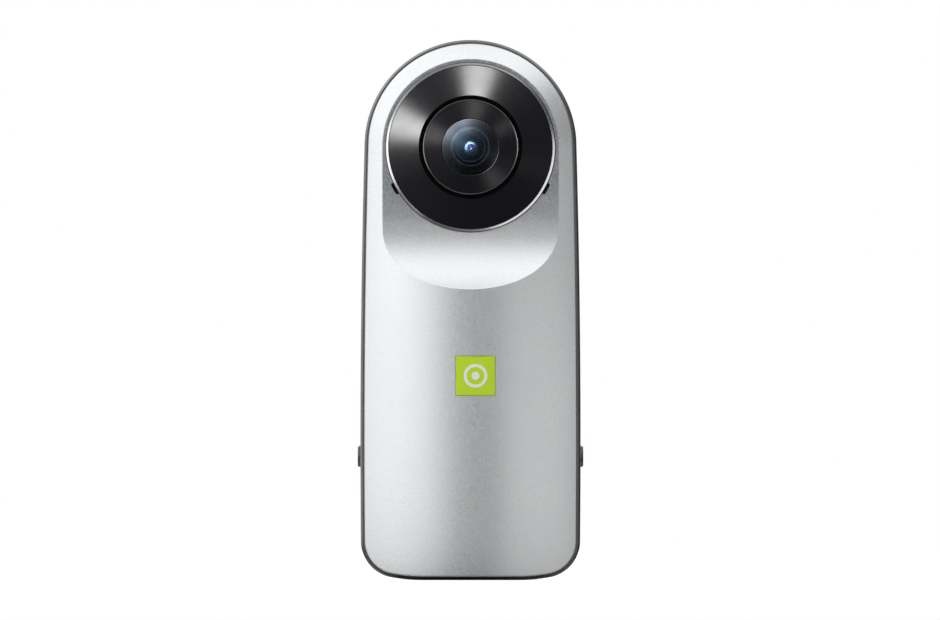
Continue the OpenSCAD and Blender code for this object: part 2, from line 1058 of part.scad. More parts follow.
module mic_boots() {
  color("dimgray")
    both_sides()
      at_mics(mic_ring)
        difference() {
          rod_y(0, 0, mic_boot_r, -mic_boot_y, -mic_boot_y + mic_boot_t);
          rod_y(0, 0, mic_hole_r, -floor_in, 0);
        }
}

module mics() {
  seat = mic_boot_t - mic_boot_y;
  color("gold")
    both_sides()
      at_mics(mic_ring)
        block([-mic_w / 2, seat, -mic_l / 2], [mic_w / 2, seat + mic_t, mic_l / 2]);
}

module lens_chassis() {
  color("gray")
    difference() {
      slab(-chassis_y, chassis_y)
        intersection() {
          outline(frame_wall + wall_gap);
          panel(-half_w, half_w, chassis_z, body_h);
        }
      for (b = chassis_bosses)
        rod_y(b[0], b[1], screw_r + set_gap, -past, past);
      lens_screw_holes();
      behind()
        lens_screw_holes();
    }
}

module chassis_screws() {
  color("gray")
    for (b = chassis_bosses)
      screw(b[0], -chassis_y, b[1], chassis_t + boss_h - screw_short);
}

module main_board() {
  notch = insert_flange / 2 + wall_gap;
  color("darkgreen")
    difference() {
      slab(-board_y, board_y)
        difference() {
          union() {
            intersection() {
              outline(board_inset);
              panel(-half_w, half_w, board_low, board_top);
            }
            translate([mid_boss_x, mid_boss_z])
              circle(r = screw_head_r + slide_gap, $fn = small);
          }
          panel(-notch, notch, 0, insert_h + wall_gap);
          for (s = [0, 1])
            mirror([s, 0])
              panel(
                switch_x, half_w,
                button_z - switch_h / 2 - slide_gap, button_z + switch_h / 2 + slide_gap
              );
        }
      for (b = board_bosses)
        rod_y(b[0], b[1], screw_r + set_gap, -past, past);
    }
}

module board_screws() {
  color("gray")
    for (b = board_bosses)
      screw(b[0], -board_y, b[1], board_t + boss_h - screw_short);
}

module board_shield() {
  side = shield_w / 2;
  color("lightgray")
    difference() {
      block([-side, -board_y - shield_h, shield_z], [side, -board_y, shield_z + shield_l]);
      block(
        [-side + shield_wall, -board_y - shield_h + shield_wall, shield_z + shield_wall],
        [side - shield_wall, 0, shield_z + shield_l - shield_wall]
      );
    }
}

module processor() {
  side = processor_w / 2;
  color("black")
    block(
      [chips_x, -board_y - processor_t, shield_middle - side],
      [chips_x + processor_w, -board_y, shield_middle + side]
    );
}

module memory_chip() {
  side = memory_l / 2;
  color("black")
    block(
      [memory_x, -board_y - memory_t, shield_middle - side],
      [memory_x + memory_w, -board_y, shield_middle + side]
    );
}

module board_connectors() {
  side = cable_w / 2 + tab_side;
  color("ivory")
    both_sides()
      block([-side, -sensor_board_y, connector_z], [side, -board_y, connector_z + connector_l]);
}

module sensor_cable() {
  side = cable_w / 2;
  block(
    [-side, -sensor_board_y - cable_t, connector_z + cable_hold],
    [side, -sensor_board_y, tab_z + tab_l - cable_hold]
  );
}

module front_sensor_cable() {
  color("orange")
    sensor_cable();
}

module rear_sensor_cable() {
  color("orange")
    behind()
      sensor_cable();
}

module battery() {
  side = battery_w / 2;
  color("lightsteelblue")
    block([-side, battery_y, battery_z], [side, battery_y + battery_t, battery_z + battery_l]);
}

module battery_pad() {
  side = battery_w / 2 - pad_inset;
  color("dimgray")
    block([-side, board_y, battery_z + pad_inset], [side, battery_y, battery_z + battery_l - pad_inset]);
}

module antenna() {
  color("white")
    block(
      [antenna_x, -board_y - antenna_t, board_top - antenna_gap - antenna_w],
      [antenna_x + antenna_l, -board_y, board_top - antenna_gap]
    );
}

// Rounded slot across Z, for the charging socket
module pill_z(x0, x1, y0, y1, z0, z1) {
  r = (y1 - y0) / 2;
  block([x0 + r, y0, z0], [x1 - r, y1, z1]);
  for (x = [x0 + r, x1 - r])
    translate([x, y0 + r, z0])
      cylinder(r = r, h = z1 - z0, $fn = small);
}

module usb_port() {
  front = -board_y - usb_h;
  middle = front + usb_h / 2;
  color("silver") {
    difference() {
      pill_z(usb_x, usb_x + usb_w, front, -board_y, mouth_z, mouth_z + usb_l);
      pill_z(
        usb_x + usb_wall, usb_x + usb_w - usb_wall, front + usb_wall, -board_y - usb_wall,
        mouth_z - over, mouth_z + usb_l - usb_back
      );
    }
    block(
      [usb_x + tongue_side, middle - tongue_t / 2, mouth_z + tongue_sink],
      [usb_x + usb_w - tongue_side, middle + tongue_t / 2, mouth_z + usb_l - tongue_root]
    );
  }
}

module card_socket() {
  back = board_y + socket_h;
  color("lightgray")
    difference() {
      block([socket_x, board_y, socket_z], [socket_x + socket_w, back, socket_z + socket_l]);
      block(
        [socket_x + socket_wall, board_y + socket_wall, socket_z - over],
        [socket_x + socket_w - socket_wall, back - socket_wall, socket_z + socket_l - socket_back]
      );
    }
}

module tripod_insert() {
  side = insert_flange / 2;
  depth = frame_seat - flange_room;
  color("goldenrod")
    difference() {
      union() {
        cylinder(r = insert_r, h = insert_h, $fn = usual);
        block([-side, -depth, frame_wall], [side, depth, frame_wall + insert_flange_t]);
      }
      translate([0, 0, -over])
        cylinder(r = thread_r, h = thread_l + over, $fn = usual);
    }
}

// Right hand tact switch, set in a notch of the board and clear of the battery behind it
module tact_switch() {
  side = switch_h / 2;
  difference() {
    block([switch_x, switch_y - side, button_z - side], [switch_far, switch_y + side, button_z + side]);
    rod_x(switch_far - plunger_bore, switch_far + over, plunger_r + slide_gap, switch_y, button_z);
  }
}

module shutter_switch() {
  color("silver")
    tact_switch();
}

module power_switch() {
  color("silver")
    on_left()
      tact_switch();
}

// Right hand button: face, stem through the frame and flange inside it
module button() {
  pill_x(flange_x - button_flange / 2, side_x + button_out, button_h, button_l, button_z);
  pill_x(plunger_x, flange_x, button_h + 2 * button_rim, button_l + 2 * button_rim, button_z);
}

module plunger() {
  rod_x(plunger_x - plunger_l, plunger_x, plunger_r, switch_y, button_z);
}

module shutter_button() {
  color("black")
    button();
}

module shutter_plunger() {
  color("white")
    plunger();
}

module power_button() {
  color("black")
    on_left()
      button();
}

module power_plunger() {
  color("white")
    on_left()
      plunger();
}

module status_light() {
  color("white") {
    rod_x(-light_x + light_sink, -light_in, light_r, -light_y, light_z);
    rod_x(-light_in, light_flange_t - light_in, light_r + light_flange, -light_y, light_z);
  }
}

module status_led() {
  seat = light_flange_t - light_in + set_gap;
  side = led_w / 2;
  color("lime")
    block([seat, -light_y - led_past, light_z - side], [seat + led_w, -board_y, light_z + side]);
}

module hinge_pin() {
  color("gray")
    rod_y(pivot_x, pivot_z, pin_r, door_y[0] - pin_seat + set_gap, door_y[1] + pin_seat - set_gap);
}

module port_door() {
  color("dimgray")
    difference() {
      union() {
        intersection() {
          slab(door_y[0], door_y[1])
            difference() {
              outline(door_gap);
              outline(door_gap + door_t);
            }
          door_room(0);
        }
        rod_y(pivot_x, pivot_z, knuckle_r, door_y[0], door_y[1]);
      }
      rod_y(pivot_x, pivot_z, pin_r + pin_gap, door_y[0] - over, door_y[1] + over);
    }
}

module door_seal() {
  inset = door_gap + door_t;
  color("black")
    intersection() {
      slab(door_y[0] + seal_side, door_y[1] - seal_side)
        difference() {
          outline(inset);
          outline(inset + seal_t);
        }
      block([pivot_x + seal_hinge, -past, 0], [corner_c[0] + seal_end, past, corner_r]);
    }
}

mid_frame();
front_cover();
rear_cover();
front_gasket();
rear_gasket();
badge();
front_lens_ring();
front_lens_shroud();
front_lens_barrel();
front_dome_glass();
front_baffle_ring();
front_inner_lens();
front_field_lens();
front_ir_filter();
front_image_sensor();
front_sensor_board();
rear_lens_ring();
rear_lens_shroud();
rear_lens_barrel();
rear_dome_glass();
rear_baffle_ring();
rear_inner_lens();
rear_field_lens();
rear_ir_filter();
rear_image_sensor();
rear_sensor_board();
lens_screws();
mic_meshes();
mic_boots();
mics();
lens_chassis();
chassis_screws();
main_board();
board_screws();
board_shield();
processor();
memory_chip();
board_connectors();
front_sensor_cable();
rear_sensor_cable();
battery();
battery_pad();
antenna();
usb_port();
card_socket();
tripod_insert();
shutter_switch();
power_switch();
status_light();
status_led();
hinge_pin();
shutter_button();
shutter_plunger();
power_button();
power_plunger();
port_door();
door_seal();
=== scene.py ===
# %% [markdown]
# # A pocket 360 degree camera
# The solids of this camera are already made and packed, each at its true size and place. This notebook
# dresses them: it works out the surfaces that the eye meets as arrays of points, paints every piece with
# a finish made from nodes, and lights the whole as a product picture is lit.

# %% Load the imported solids
import json
import math

import bmesh
import bpy
import numpy as np
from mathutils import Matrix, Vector


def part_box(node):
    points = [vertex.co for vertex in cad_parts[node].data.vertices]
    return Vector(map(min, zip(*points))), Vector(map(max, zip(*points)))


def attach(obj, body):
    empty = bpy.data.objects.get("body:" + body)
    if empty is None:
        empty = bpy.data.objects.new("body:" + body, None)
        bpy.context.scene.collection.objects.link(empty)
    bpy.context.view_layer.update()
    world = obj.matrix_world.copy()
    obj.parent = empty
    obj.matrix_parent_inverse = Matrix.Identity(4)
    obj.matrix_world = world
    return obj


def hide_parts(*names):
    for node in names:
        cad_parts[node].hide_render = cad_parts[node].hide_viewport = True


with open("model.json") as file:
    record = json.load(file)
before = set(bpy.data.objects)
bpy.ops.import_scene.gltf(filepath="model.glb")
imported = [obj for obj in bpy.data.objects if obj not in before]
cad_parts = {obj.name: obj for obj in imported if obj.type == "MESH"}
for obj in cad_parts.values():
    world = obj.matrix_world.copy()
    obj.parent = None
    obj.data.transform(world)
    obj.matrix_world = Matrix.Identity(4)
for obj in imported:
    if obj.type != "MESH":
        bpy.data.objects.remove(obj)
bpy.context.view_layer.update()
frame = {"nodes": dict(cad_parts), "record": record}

# %% [markdown]
# ## Sizes
# A maker reads sizes off the parts and does not guess them twice. Whatever a node's box can tell is read
# from it, in millimetres. Only the radii of the arcs, which no box shows, are written down here.

# %% Sizes in millimetres
MM = 0.001
LOW = {name: np.array(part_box(name)[0]) / MM for name in frame["nodes"]}
HIGH = {name: np.array(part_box(name)[1]) / MM for name in frame["nodes"]}

ARCH_R = 19.03
SIDE_BOW = 0.74
WIDEST_Z = 25.0
BASE_FLAT = 8.5
BASE_R = 33.0
CORNER_R = 6.6
CROWN_R = 42.0
RAMP_R = 20.2
RAMP_DROP = 14.71
FLOOR_HALF_W = 15.8


def middle(name):
    """Middle of a node's box."""
    return (LOW[name] + HIGH[name]) / 2


body_h = HIGH["mid_frame"][2]
arch_z = body_h - ARCH_R
half_w = ARCH_R + SIDE_BOW
frame_y = HIGH["mid_frame"][1]
seat_y = HIGH["rear_gasket"][1]
frame_seat = LOW["rear_gasket"][1]
crown_y = HIGH["rear_cover"][1]
floor_y = crown_y - CROWN_R + math.sqrt(CROWN_R ** 2 - FLOOR_HALF_W ** 2)
lens_z = middle("front_lens_ring")[2]
ramp_z = lens_z - RAMP_DROP
print(f"body {2 * half_w:.2f} wide, {body_h:.2f} high; lens axis at {lens_z:.2f}, floor at {floor_y:.3f}")

# %% [markdown]
# ## From arrays to meshes
# A surface here is a grid: rows of points that run round a piece or along it. One function numbers the
# quads of any grid, and one makes a closed piece of points and quads. A shape that came out inside out has
# a negative volume, so it is turned back, and points that fall together at a pole are merged.

# %% Grid and mesh helpers
SHARP = math.radians(32)
MERGE = 1e-7


def grid_quads(rows, columns, wrap_rows=False, wrap_columns=True):
    """Corner numbers of a grid's quads: point (i, j) joins (i, j+1), (i+1, j+1) and (i+1, j)."""
    i = np.arange(rows if wrap_rows else rows - 1)[:, None]
    j = np.arange(columns if wrap_columns else columns - 1)[None, :]
    here, below = i * columns, (i + 1) % rows * columns
    right = (j + 1) % columns
    quads = np.stack([here + j, here + right, below + right, below + j], axis=-1)
    return quads.reshape(-1, 4).tolist()


def smooth(mesh):
    """Shades a mesh smooth, with its true edges kept sharp."""
    mesh.shade_smooth()
    mesh.set_sharp_from_angle(angle=SHARP)


def placed(name, data):
    """New object in the scene that shows a mesh, a lamp or a camera."""
    made = bpy.data.objects.new(name, data)
    bpy.context.scene.collection.objects.link(made)
    return made


def as_object(name, mesh):
    """Puts a mesh into the scene, shaded smooth."""
    smooth(mesh)
    return placed(name, mesh)


def xyz(x, y, z):
    """Points from arrays of x, y and z, which stretch to one shape."""
    return np.stack(np.broadcast_arrays(x, y, z), axis=-1)


def solid(name, points, wrap_rows=False, caps=False):
    """Closed piece from a grid of points in millimetres, shaped (rows, columns, 3)."""
    rows, columns = points.shape[:2]
    faces = grid_quads(rows, columns, wrap_rows)
    if caps:
        faces += [list(range(columns)), list(range((rows - 1) * columns, rows * columns))[::-1]]
    mesh = bpy.data.meshes.new(name)
    mesh.from_pydata((points.reshape(-1, 3) * MM).tolist(), [], faces)
    shape = bmesh.new()
    shape.from_mesh(mesh)
    bmesh.ops.remove_doubles(shape, verts=shape.verts, dist=MERGE)
    bmesh.ops.recalc_face_normals(shape, faces=shape.faces)
    if shape.calc_volume(signed=True) < 0:
        bmesh.ops.reverse_faces(shape, faces=shape.faces)
    shape.to_mesh(mesh)
    shape.free()
    return as_object(name, mesh)


print("helpers ready")

# %% [markdown]
# ## Edges
# No edge on a moulded or turned part is perfectly sharp, and the thin light that runs along an edge is
# what makes a part look real. Corners of a profile are replaced by short curves. A point just past each
# curve keeps the shading of the flats flat.

# %% Rounding a profile
SUPPORT = 1.35
EASE_STEPS = 6
TURN_STEPS = 288


def eased(corners):
    """Closed profile from rows of (u, v, cut) with each corner C eased: (1-t)^2 A + 2t(1-t) C + t^2 B. A
    and B lie one cut away along the edges of C, and a supporting point lies a little further each way."""
    rows = np.array(corners, float)
    corner, cut = rows[:, :2], rows[:, 2:]
    back = np.roll(corner, 1, axis=0) - corner
    ahead = np.roll(corner, -1, axis=0) - corner
    back = back / np.linalg.norm(back, axis=1, keepdims=True)
    ahead = ahead / np.linalg.norm(ahead, axis=1, keepdims=True)
    t = np.linspace(0, 1, EASE_STEPS)[:, None, None]
    a, b = corner + cut * back, corner + cut * ahead
    curve = (1 - t) ** 2 * a + 2 * t * (1 - t) * corner + t ** 2 * b
    first = (corner + SUPPORT * cut * back)[None]
    last = (corner + SUPPORT * cut * ahead)[None]
    return np.concatenate([first, curve, last]).transpose(1, 0, 2).reshape(-1, 2)


def full_turn(steps):
    """Angles of a full turn in even steps."""
    return np.linspace(0, 2 * np.pi, steps, endpoint=False)


def turned(name, profile, side):
    """Profile of (radius r, depth d) turned about the lens axis: (r cos a, side d, lens_z + r sin a). A
    profile that starts on the axis also ends there, and any other is a closed loop."""
    a = full_turn(TURN_STEPS)
    r, d = profile[:, :1], profile[:, 1:]
    points = xyz(r * np.cos(a), side * d, lens_z + r * np.sin(a))
    return solid(name, points, wrap_rows=profile[0, 0] > 0)


print("points at an eased corner:", EASE_STEPS + 2)

# %% [markdown]
# ## Shader sums
# Node trees are easier to read as sums. A small class holds one socket of a tree, and adding or
# multiplying sockets makes the Math nodes. Every other node comes from one method, which takes the kind
# of node, its settings, and what goes into its sockets.

# %% Sockets that can be added and multiplied


class Shade:
    """One output socket of a node tree. Sums on it add Math nodes to the tree."""

    def __init__(self, tree, socket=None):
        self.tree = tree
        self.socket = socket

    def add(self, kind, settings=None, inputs=None, out=0):
        """Makes a node of a kind: its settings first, then the values or links of its sockets."""
        node = self.tree.nodes.new(kind)
        for key, value in (settings or {}).items():
            if key == "stops":
                node.color_ramp.elements.remove(node.color_ramp.elements[0])
                node.color_ramp.elements[0].position, node.color_ramp.elements[0].color = value[0]
                for place, colour in value[1:]:
                    node.color_ramp.elements.new(place).color = colour
            else:
                setattr(node, key, value)
        for key, value in (inputs or {}).items():
            if isinstance(value, Shade):
                self.tree.links.new(value.socket, node.inputs[key])
            else:
                node.inputs[key].default_value = value
        return Shade(self.tree, node.outputs[out] if node.outputs else None)

    def math(self, operation, first, second=0.0):
        """Math node of one or two values."""
        return self.add("ShaderNodeMath", {"operation": operation}, {0: first, 1: second})

    def __add__(self, other):
        return self.math("ADD", self, other)

    def __sub__(self, other):
        return self.math("SUBTRACT", self, other)

    def __rsub__(self, other):
        return self.math("SUBTRACT", other, self)

    def __mul__(self, other):
        return self.math("MULTIPLY", self, other)

    def __truediv__(self, other):
        return self.math("DIVIDE", self, other)

    def __pow__(self, other):
        return self.math("POWER", self, other)

    __radd__ = __add__
    __rmul__ = __mul__

    def size(self):
        """The value without its sign."""
        return self.math("ABSOLUTE", self)

    def most(self, other):
        """The greater of two values."""
        return self.math("MAXIMUM", self, other)

    def wave(self):
        """A sine wave between 0 and 1."""
        return self.math("SINE", self) * 0.5 + 0.5

    def above(self, low, high):
        """0 under low, 1 over high, and an even step in between."""
        inputs = {"Value": self, "From Min": low, "From Max": high}
        return self.add("ShaderNodeMapRange", {"interpolation_type": "SMOOTHSTEP"}, inputs)

    def blend(self, dark, light):
        """Colour from dark, where this is 0, to light, where it is 1."""
        return self.add("ShaderNodeMix", {"data_type": "RGBA"}, {0: self, 6: dark, 7: light}, out=2)

    def ramp(self, stops):
        """Colour along a row of (place, colour) stops."""
        return self.add("ShaderNodeValToRGB", {"stops": stops}, {"Fac": self})

    def place(self):
        """Object coordinates, in metres."""
        return self.add("ShaderNodeTexCoord", out="Object")

    def parts(self):
        """The x, y and z of a vector."""
        split = self.add("ShaderNodeSeparateXYZ", None, {0: self}).socket.node
        return [Shade(self.tree, socket) for socket in split.outputs]

    def away(self, x0, z0):
        """Distance of this place from the line along y through x0 and z0, in millimetres."""
        x, _, z = self.parts()
        across = x / MM - x0
        up = z / MM - z0
        return (across * across + up * up) ** 0.5

    def noise(self, scale, detail=2.0):
        """Soft noise between 0 and 1 at this place, in lumps of about 1 / scale metres."""
        inputs = {"Vector": self, "Scale": scale, "Detail": detail}
        return self.add("ShaderNodeTexNoise", None, inputs)

    def cells(self, scale):
        """A chance value between 0 and 1 for each small cell."""
        tint = self.add("ShaderNodeTexVoronoi", None, {"Vector": self, "Scale": scale}, out="Color")
        return tint.add("ShaderNodeSeparateColor", None, {0: tint})

    def bump(self, strength, distance):
        """Normal of a surface that this height stands on."""
        inputs = {"Strength": strength, "Distance": distance, "Height": self}
        return self.add("ShaderNodeBump", None, inputs)

    def surface(self, inputs):
        """The shader that a solid finish ends in."""
        return self.add("ShaderNodeBsdfPrincipled", None, inputs)

    def matt(self, colour):
        """Shader of one plain matt colour."""
        return self.add("ShaderNodeBsdfDiffuse", None, {"Color": colour})

    def choose(self, first, second):
        """The first shader where this is 0, the second where it is 1."""
        return self.add("ShaderNodeMixShader", None, {0: self, 1: first, 2: second})


def paint(name, build):
    """Material whose node tree is made by build, a function from an empty Shade to a shader."""
    made = bpy.data.materials.new(name)
    made.use_nodes = True
    made.node_tree.nodes.clear()
    start = Shade(made.node_tree)
    start.add("ShaderNodeOutputMaterial", None, {"Surface": build(start)})
    return made


def grey(value, blue=1.0):
    """A grey colour, a little bluer where blue is over 1."""
    return (value, value, value * blue, 1.0)


finishes = {}


def make_finishes(**recipes):
    """One material for each recipe, kept under the recipe's name."""
    finishes.update({name: paint(name, build) for name, build in recipes.items()})
    print("finishes:", ", ".join(recipes))


print("shader class ready")

# %% [markdown]
# ## Silver covers
# The covers are blasted and coated aluminium: satin, with flakes so fine that each is about a pixel in
# a product picture. A chance value for each tiny cell makes the flakes lighter or darker and a little
# rougher, and a faint grain keeps the reflections from looking like glass. The flat floor round the lens
# is painted darker than the crown, as painted shade for the recess, fading out towards the ramp below:
# the depth of a point tells where that is.

# %% Finish: blasted silver
FLAKE = 5200
GRAIN = 2600
HAZE = 90
SKIN = ((0.695, 0.702, 0.708, 1.0), (0.785, 0.792, 0.798, 1.0))
PAINTED_FLOOR_SHADE = ((0.310, 0.326, 0.338, 1.0), (0.500, 0.526, 0.545, 1.0))


def silver(shade):
    """Skin colour, or painted shade on the recessed floor, darker or lighter from flake to flake."""
    place = shade.place()
    _, y, z = place.parts()
    flake = place.cells(FLAKE)
    grain = place.noise(GRAIN, 3.0)
    level = (flake * 0.5 + grain * 0.5).above(0.1, 0.9)
    # Painted shade: the flat floor of the recess round the lens takes the darker colour, fading out towards
    # the ramp.
    deep = y.size() / MM - floor_y
    up = z / MM - ramp_z
    floor = deep.above(-0.05, -0.01) * (1 - deep.above(0.01, 0.05))
    floor = floor * (0.6 * up.above(-0.2, 3.0) + 0.4 * up.above(1.0, 10.0))
    return shade.surface({
        "Base Color": floor.blend(level.blend(*SKIN), level.blend(*PAINTED_FLOOR_SHADE)),
        "Metallic": 1.0,
        "Roughness": 0.25 + 0.09 * flake + 0.05 * place.noise(HAZE),
        "Specular Tint": (0.55, 0.56, 0.57, 1.0),
        "Normal": grain.bump(0.30, 0.00003),
    })


make_finishes(cover_silver=silver)

# %% [markdown]
# ## Moulded plastic, rubber and plain metal
# Most of the other pieces are mouldings, rubber or sheet metal. One recipe serves each family: a colour
# that drifts a little, a roughness that drifts with it, and the grain that the tool leaves.

# %% Finishes: families of plain materials


def drift(colour, amount):
    """The same colour made darker and lighter by an amount."""
    dark = tuple(c * (1 - amount) for c in colour[:3]) + (1.0,)
    light = tuple(min(1.0, c * (1 + amount)) for c in colour[:3]) + (1.0,)
    return dark, light


def moulded(colour, rough, grain=3000, depth=0.00001, shine=0.5):
    """Plastic or rubber with the fine grain of its mould."""
    def build(shade):
        place = shade.place()
        texture = place.noise(grain, 4.0)
        patch = place.noise(grain / 40)
        return shade.surface({
            "Base Color": (texture * 0.5 + patch * 0.5).above(0.2, 0.8).blend(*drift(colour, 0.18)),
            "Roughness": rough + 0.10 * (patch - 0.5) + 0.08 * (texture - 0.5),
            "Specular IOR Level": shine,
            "Normal": texture.bump(0.25, depth),
        })
    return build


def metal(colour, rough, along=(1.0, 1.0, 1.0), grain=1500):
    """Metal with the marks of rolling or stamping, drawn out where along is small."""
    def build(shade):
        stretch = shade.add("ShaderNodeMapping", None, {"Vector": shade.place(), "Scale": along})
        marks = stretch.noise(grain, 4.0)
        stain = shade.place().noise(220)
        return shade.surface({
            "Base Color": (marks * 0.6 + stain * 0.4).above(0.2, 0.8).blend(*drift(colour, 0.14)),
            "Metallic": 1.0,
            "Roughness": rough + 0.16 * (marks - 0.5) + 0.10 * (stain - 0.5),
            "Normal": marks.bump(0.2, 0.00001),
        })
    return build


make_finishes(
    gasket_black=moulded(grey(0.010), 0.75, grain=1800),
    seal_rubber=moulded(grey(0.018), 0.7, grain=1800),
    boot_rubber=moulded(grey(0.040), 0.7, grain=1800),
    foam_grey=moulded(grey(0.055), 0.9, grain=1400, depth=0.0002, shine=0.2),
    baffle_black=moulded(grey(0.006), 0.6, shine=0.25),
    chip_black=moulded(grey(0.018), 0.5, grain=5000),
    connector_ivory=moulded((0.62, 0.57, 0.45, 1.0), 0.45),
    plunger_white=moulded((0.68, 0.68, 0.66, 1.0), 0.4),
    antenna_white=moulded((0.78, 0.78, 0.75, 1.0), 0.35),
    led_white=moulded((0.85, 0.84, 0.66, 1.0), 0.3),
    frame_dark=metal(grey(0.260, 1.03), 0.36, grain=2600),
    ground_edge=moulded(grey(0.30), 0.5),
    button_black=metal(grey(0.110, 1.05), 0.30, grain=2600),
    screw_black=metal(grey(0.012), 0.45),
    screw_steel=metal(grey(0.38), 0.30),
    chassis_metal=metal(grey(0.46), 0.48, grain=900),
    shield_tin=metal((0.62, 0.61, 0.58, 1.0), 0.34, along=(0.05, 1.0, 1.0)),
    port_steel=metal(grey(0.58), 0.28, along=(1.0, 1.0, 0.08)),
    switch_metal=metal(grey(0.62), 0.32),
    insert_metal=metal((0.66, 0.64, 0.58, 1.0), 0.25),
    mic_gold=metal((0.72, 0.52, 0.18, 1.0), 0.3),
)

# %% [markdown]
# ## Turned metal round the lens
# The bright ring, the black cone and the barrel are turned on a lathe, so their marks run in circles
# round the lens axis. The distance from that axis drives a noise in one dimension, which gives rings
# of uneven depth, as a tool leaves them.

# %% Finishes: turned rings


def turned_metal(colour, rough, pitch, depth, spread, metallic=1.0, shine=0.5, tone=0.22):
    """Turning marks: noise along the distance from the lens axis sets height, tone and gloss. Bare metal
    is fully metallic; a dyed skin is not, and has a low shine."""
    def build(shade):
        place = shade.place()
        marks = shade.add(
            "ShaderNodeTexNoise", {"noise_dimensions": "1D"},
            {"W": place.away(0, lens_z), "Scale": 1 / pitch, "Detail": 3.0},
        )
        return shade.surface({
            "Base Color": marks.above(0.25, 0.75).blend(*drift(colour, tone)),
            "Metallic": metallic,
            "Specular IOR Level": shine,
            "Roughness": rough + spread * (marks - 0.5) + 0.06 * (place.noise(700) - 0.5),
            "Normal": marks.bump(0.5, depth * MM),
        })
    return build


BLACK_COAT = {"metallic": 0.0, "shine": 0.10, "tone": 0.15}
make_finishes(
    ring_bright=turned_metal(grey(0.15), 0.20, 0.20, 0.003, 0.08),
    cone_black=turned_metal((0.0112, 0.0104, 0.0140, 1.0), 0.21, 0.22, 0.006, 0.08, **BLACK_COAT),
    barrel_black=turned_metal((0.0092, 0.0085, 0.0115, 1.0), 0.17, 0.30, 0.012, 0.10, **BLACK_COAT),
    bright_cut=turned_metal(grey(0.085), 0.20, 0.20, 0.002, 0.05),
    dark_cut=turned_metal(grey(0.03), 0.24, 0.20, 0.002, 0.05),
)

# %% [markdown]
# ## Glass
# The dome is a thin clear shell: light goes straight through apart from what its faces send back, and
# that share grows towards the rim. A transparent and a glossy shader do this with no grain in the
# picture, mixed by a Layer Weight node, which tells how far the glass is turned from the eye. The coated
# glasses behind it also tint what they send back.

# %% Finishes: glass
COAT_R = 2.0


def clear_glass(least, slope, tint, rough, deep=0.0, cool=None):
    """Clear glass that sends back a tinted share of the light and passes the rest. With f = 1 - cos of the
    angle, share = least + slope f. A coating keeps what comes back dim until the glass is seen aslant, and
    there a part called deep shows the black of the mount behind it. Where the coating has a second colour,
    cool, it shows in the middle."""
    def build(shade):
        smear = shade.place().noise(400)
        facing = shade.add("ShaderNodeLayerWeight", None, {"Blend": 0.5}, out="Facing")
        coat = smear.blend(*drift(tint, 0.06))
        if cool:
            coat = facing.above(0.04, 0.34).blend(smear.blend(*drift(cool, 0.06)), coat)
        bare = facing.above(0.30, 0.80)
        back = shade.surface({
            "Base Color": bare.blend(coat, grey(0.7)),
            "Metallic": 1.0,
            "Roughness": (rough + 0.02 * smear) * (1 - 0.85 * bare),
        })
        through = shade.add("ShaderNodeBsdfTransparent", None, {"Color": (0.97, 0.985, 1.0, 1.0)})
        if deep:
            through = (deep * facing.above(0.30, 0.60)).choose(through, shade.matt(grey(0.006)))
        return (least + slope * facing).choose(through, back)
    return build


def coated_bead(shade):
    """Front of the deep lens group: rings of coating colour about the lens axis."""
    place = shade.place()
    radius = place.away(0, lens_z) / COAT_R
    tint = radius.ramp([
        (0.0, (0.140, 0.140, 0.420, 1)), (0.23, (0.120, 0.116, 0.380, 1)), (0.29, (0.040, 0.060, 0.160, 1)),
        (0.34, (0.080, 0.135, 0.165, 1)), (0.70, (0.085, 0.145, 0.175, 1)), (0.80, (0.016, 0.030, 0.045, 1)),
        (0.90, (0.002, 0.003, 0.004, 1)),
    ])
    return shade.surface({
        "Base Color": tint,
        "Metallic": 1.0,
        "Roughness": 0.14 + 0.22 * radius.above(0.25, 0.33) + 0.02 * place.noise(900),
    })


make_finishes(
    dome_glass=clear_glass(
        0.09, 1.20, (0.0197, 0.0202, 0.0211, 1.0), 0.54, deep=0.92, cool=(0.0120, 0.0174, 0.0240, 1.0),
    ),
    lens_glass=clear_glass(0.12, 0.05, (0.014, 0.024, 0.034, 1.0), 0.28),
    filter_glass=clear_glass(0.10, 0.30, (0.20, 0.50, 0.45, 1.0), 0.03),
    light_pipe=clear_glass(0.30, 0.50, (0.80, 0.82, 0.80, 1.0), 0.12),
    coated_bead=coated_bead,
)

# %% [markdown]
# ## Boards, battery and small parts
# These sit inside and show only when the camera is opened, but each has its own look: solder mask over
# copper tracks, a wrinkled foil pouch, an amber film with traces, woven mesh and the pixels of a sensor.

# %% Finishes: inner parts


def board(shade):
    """Green mask, lighter over copper tracks, with gold pads where a fine grid meets a chance value."""
    place = shade.place()
    x, _, z = place.parts()
    tracks = (x * 4200 + 3 * place.noise(300)).wave().above(0.55, 0.8)
    rows = (z * 2600).wave().above(0.6, 0.85)
    pads = place.cells(700).above(0.86, 0.9) * tracks * rows
    mask = (0.5 * tracks + 0.5 * rows).blend((0.006, 0.06, 0.028, 1), (0.015, 0.13, 0.06, 1))
    return shade.surface({
        "Base Color": pads.blend(mask, (0.7, 0.5, 0.2, 1)),
        "Metallic": pads,
        "Roughness": 0.42 - 0.15 * pads,
        "Normal": (tracks * 0.5 + rows * 0.3).bump(0.4, 0.00003),
    })


def foil(shade):
    """Pouch foil with soft wrinkles."""
    wrinkle = shade.place().noise(180, 6.0)
    return shade.surface({
        "Base Color": wrinkle.blend(grey(0.46, 1.04), grey(0.66, 1.04)),
        "Metallic": 1.0,
        "Roughness": 0.30 + 0.2 * wrinkle,
        "Normal": wrinkle.bump(0.5, 0.0002),
    })


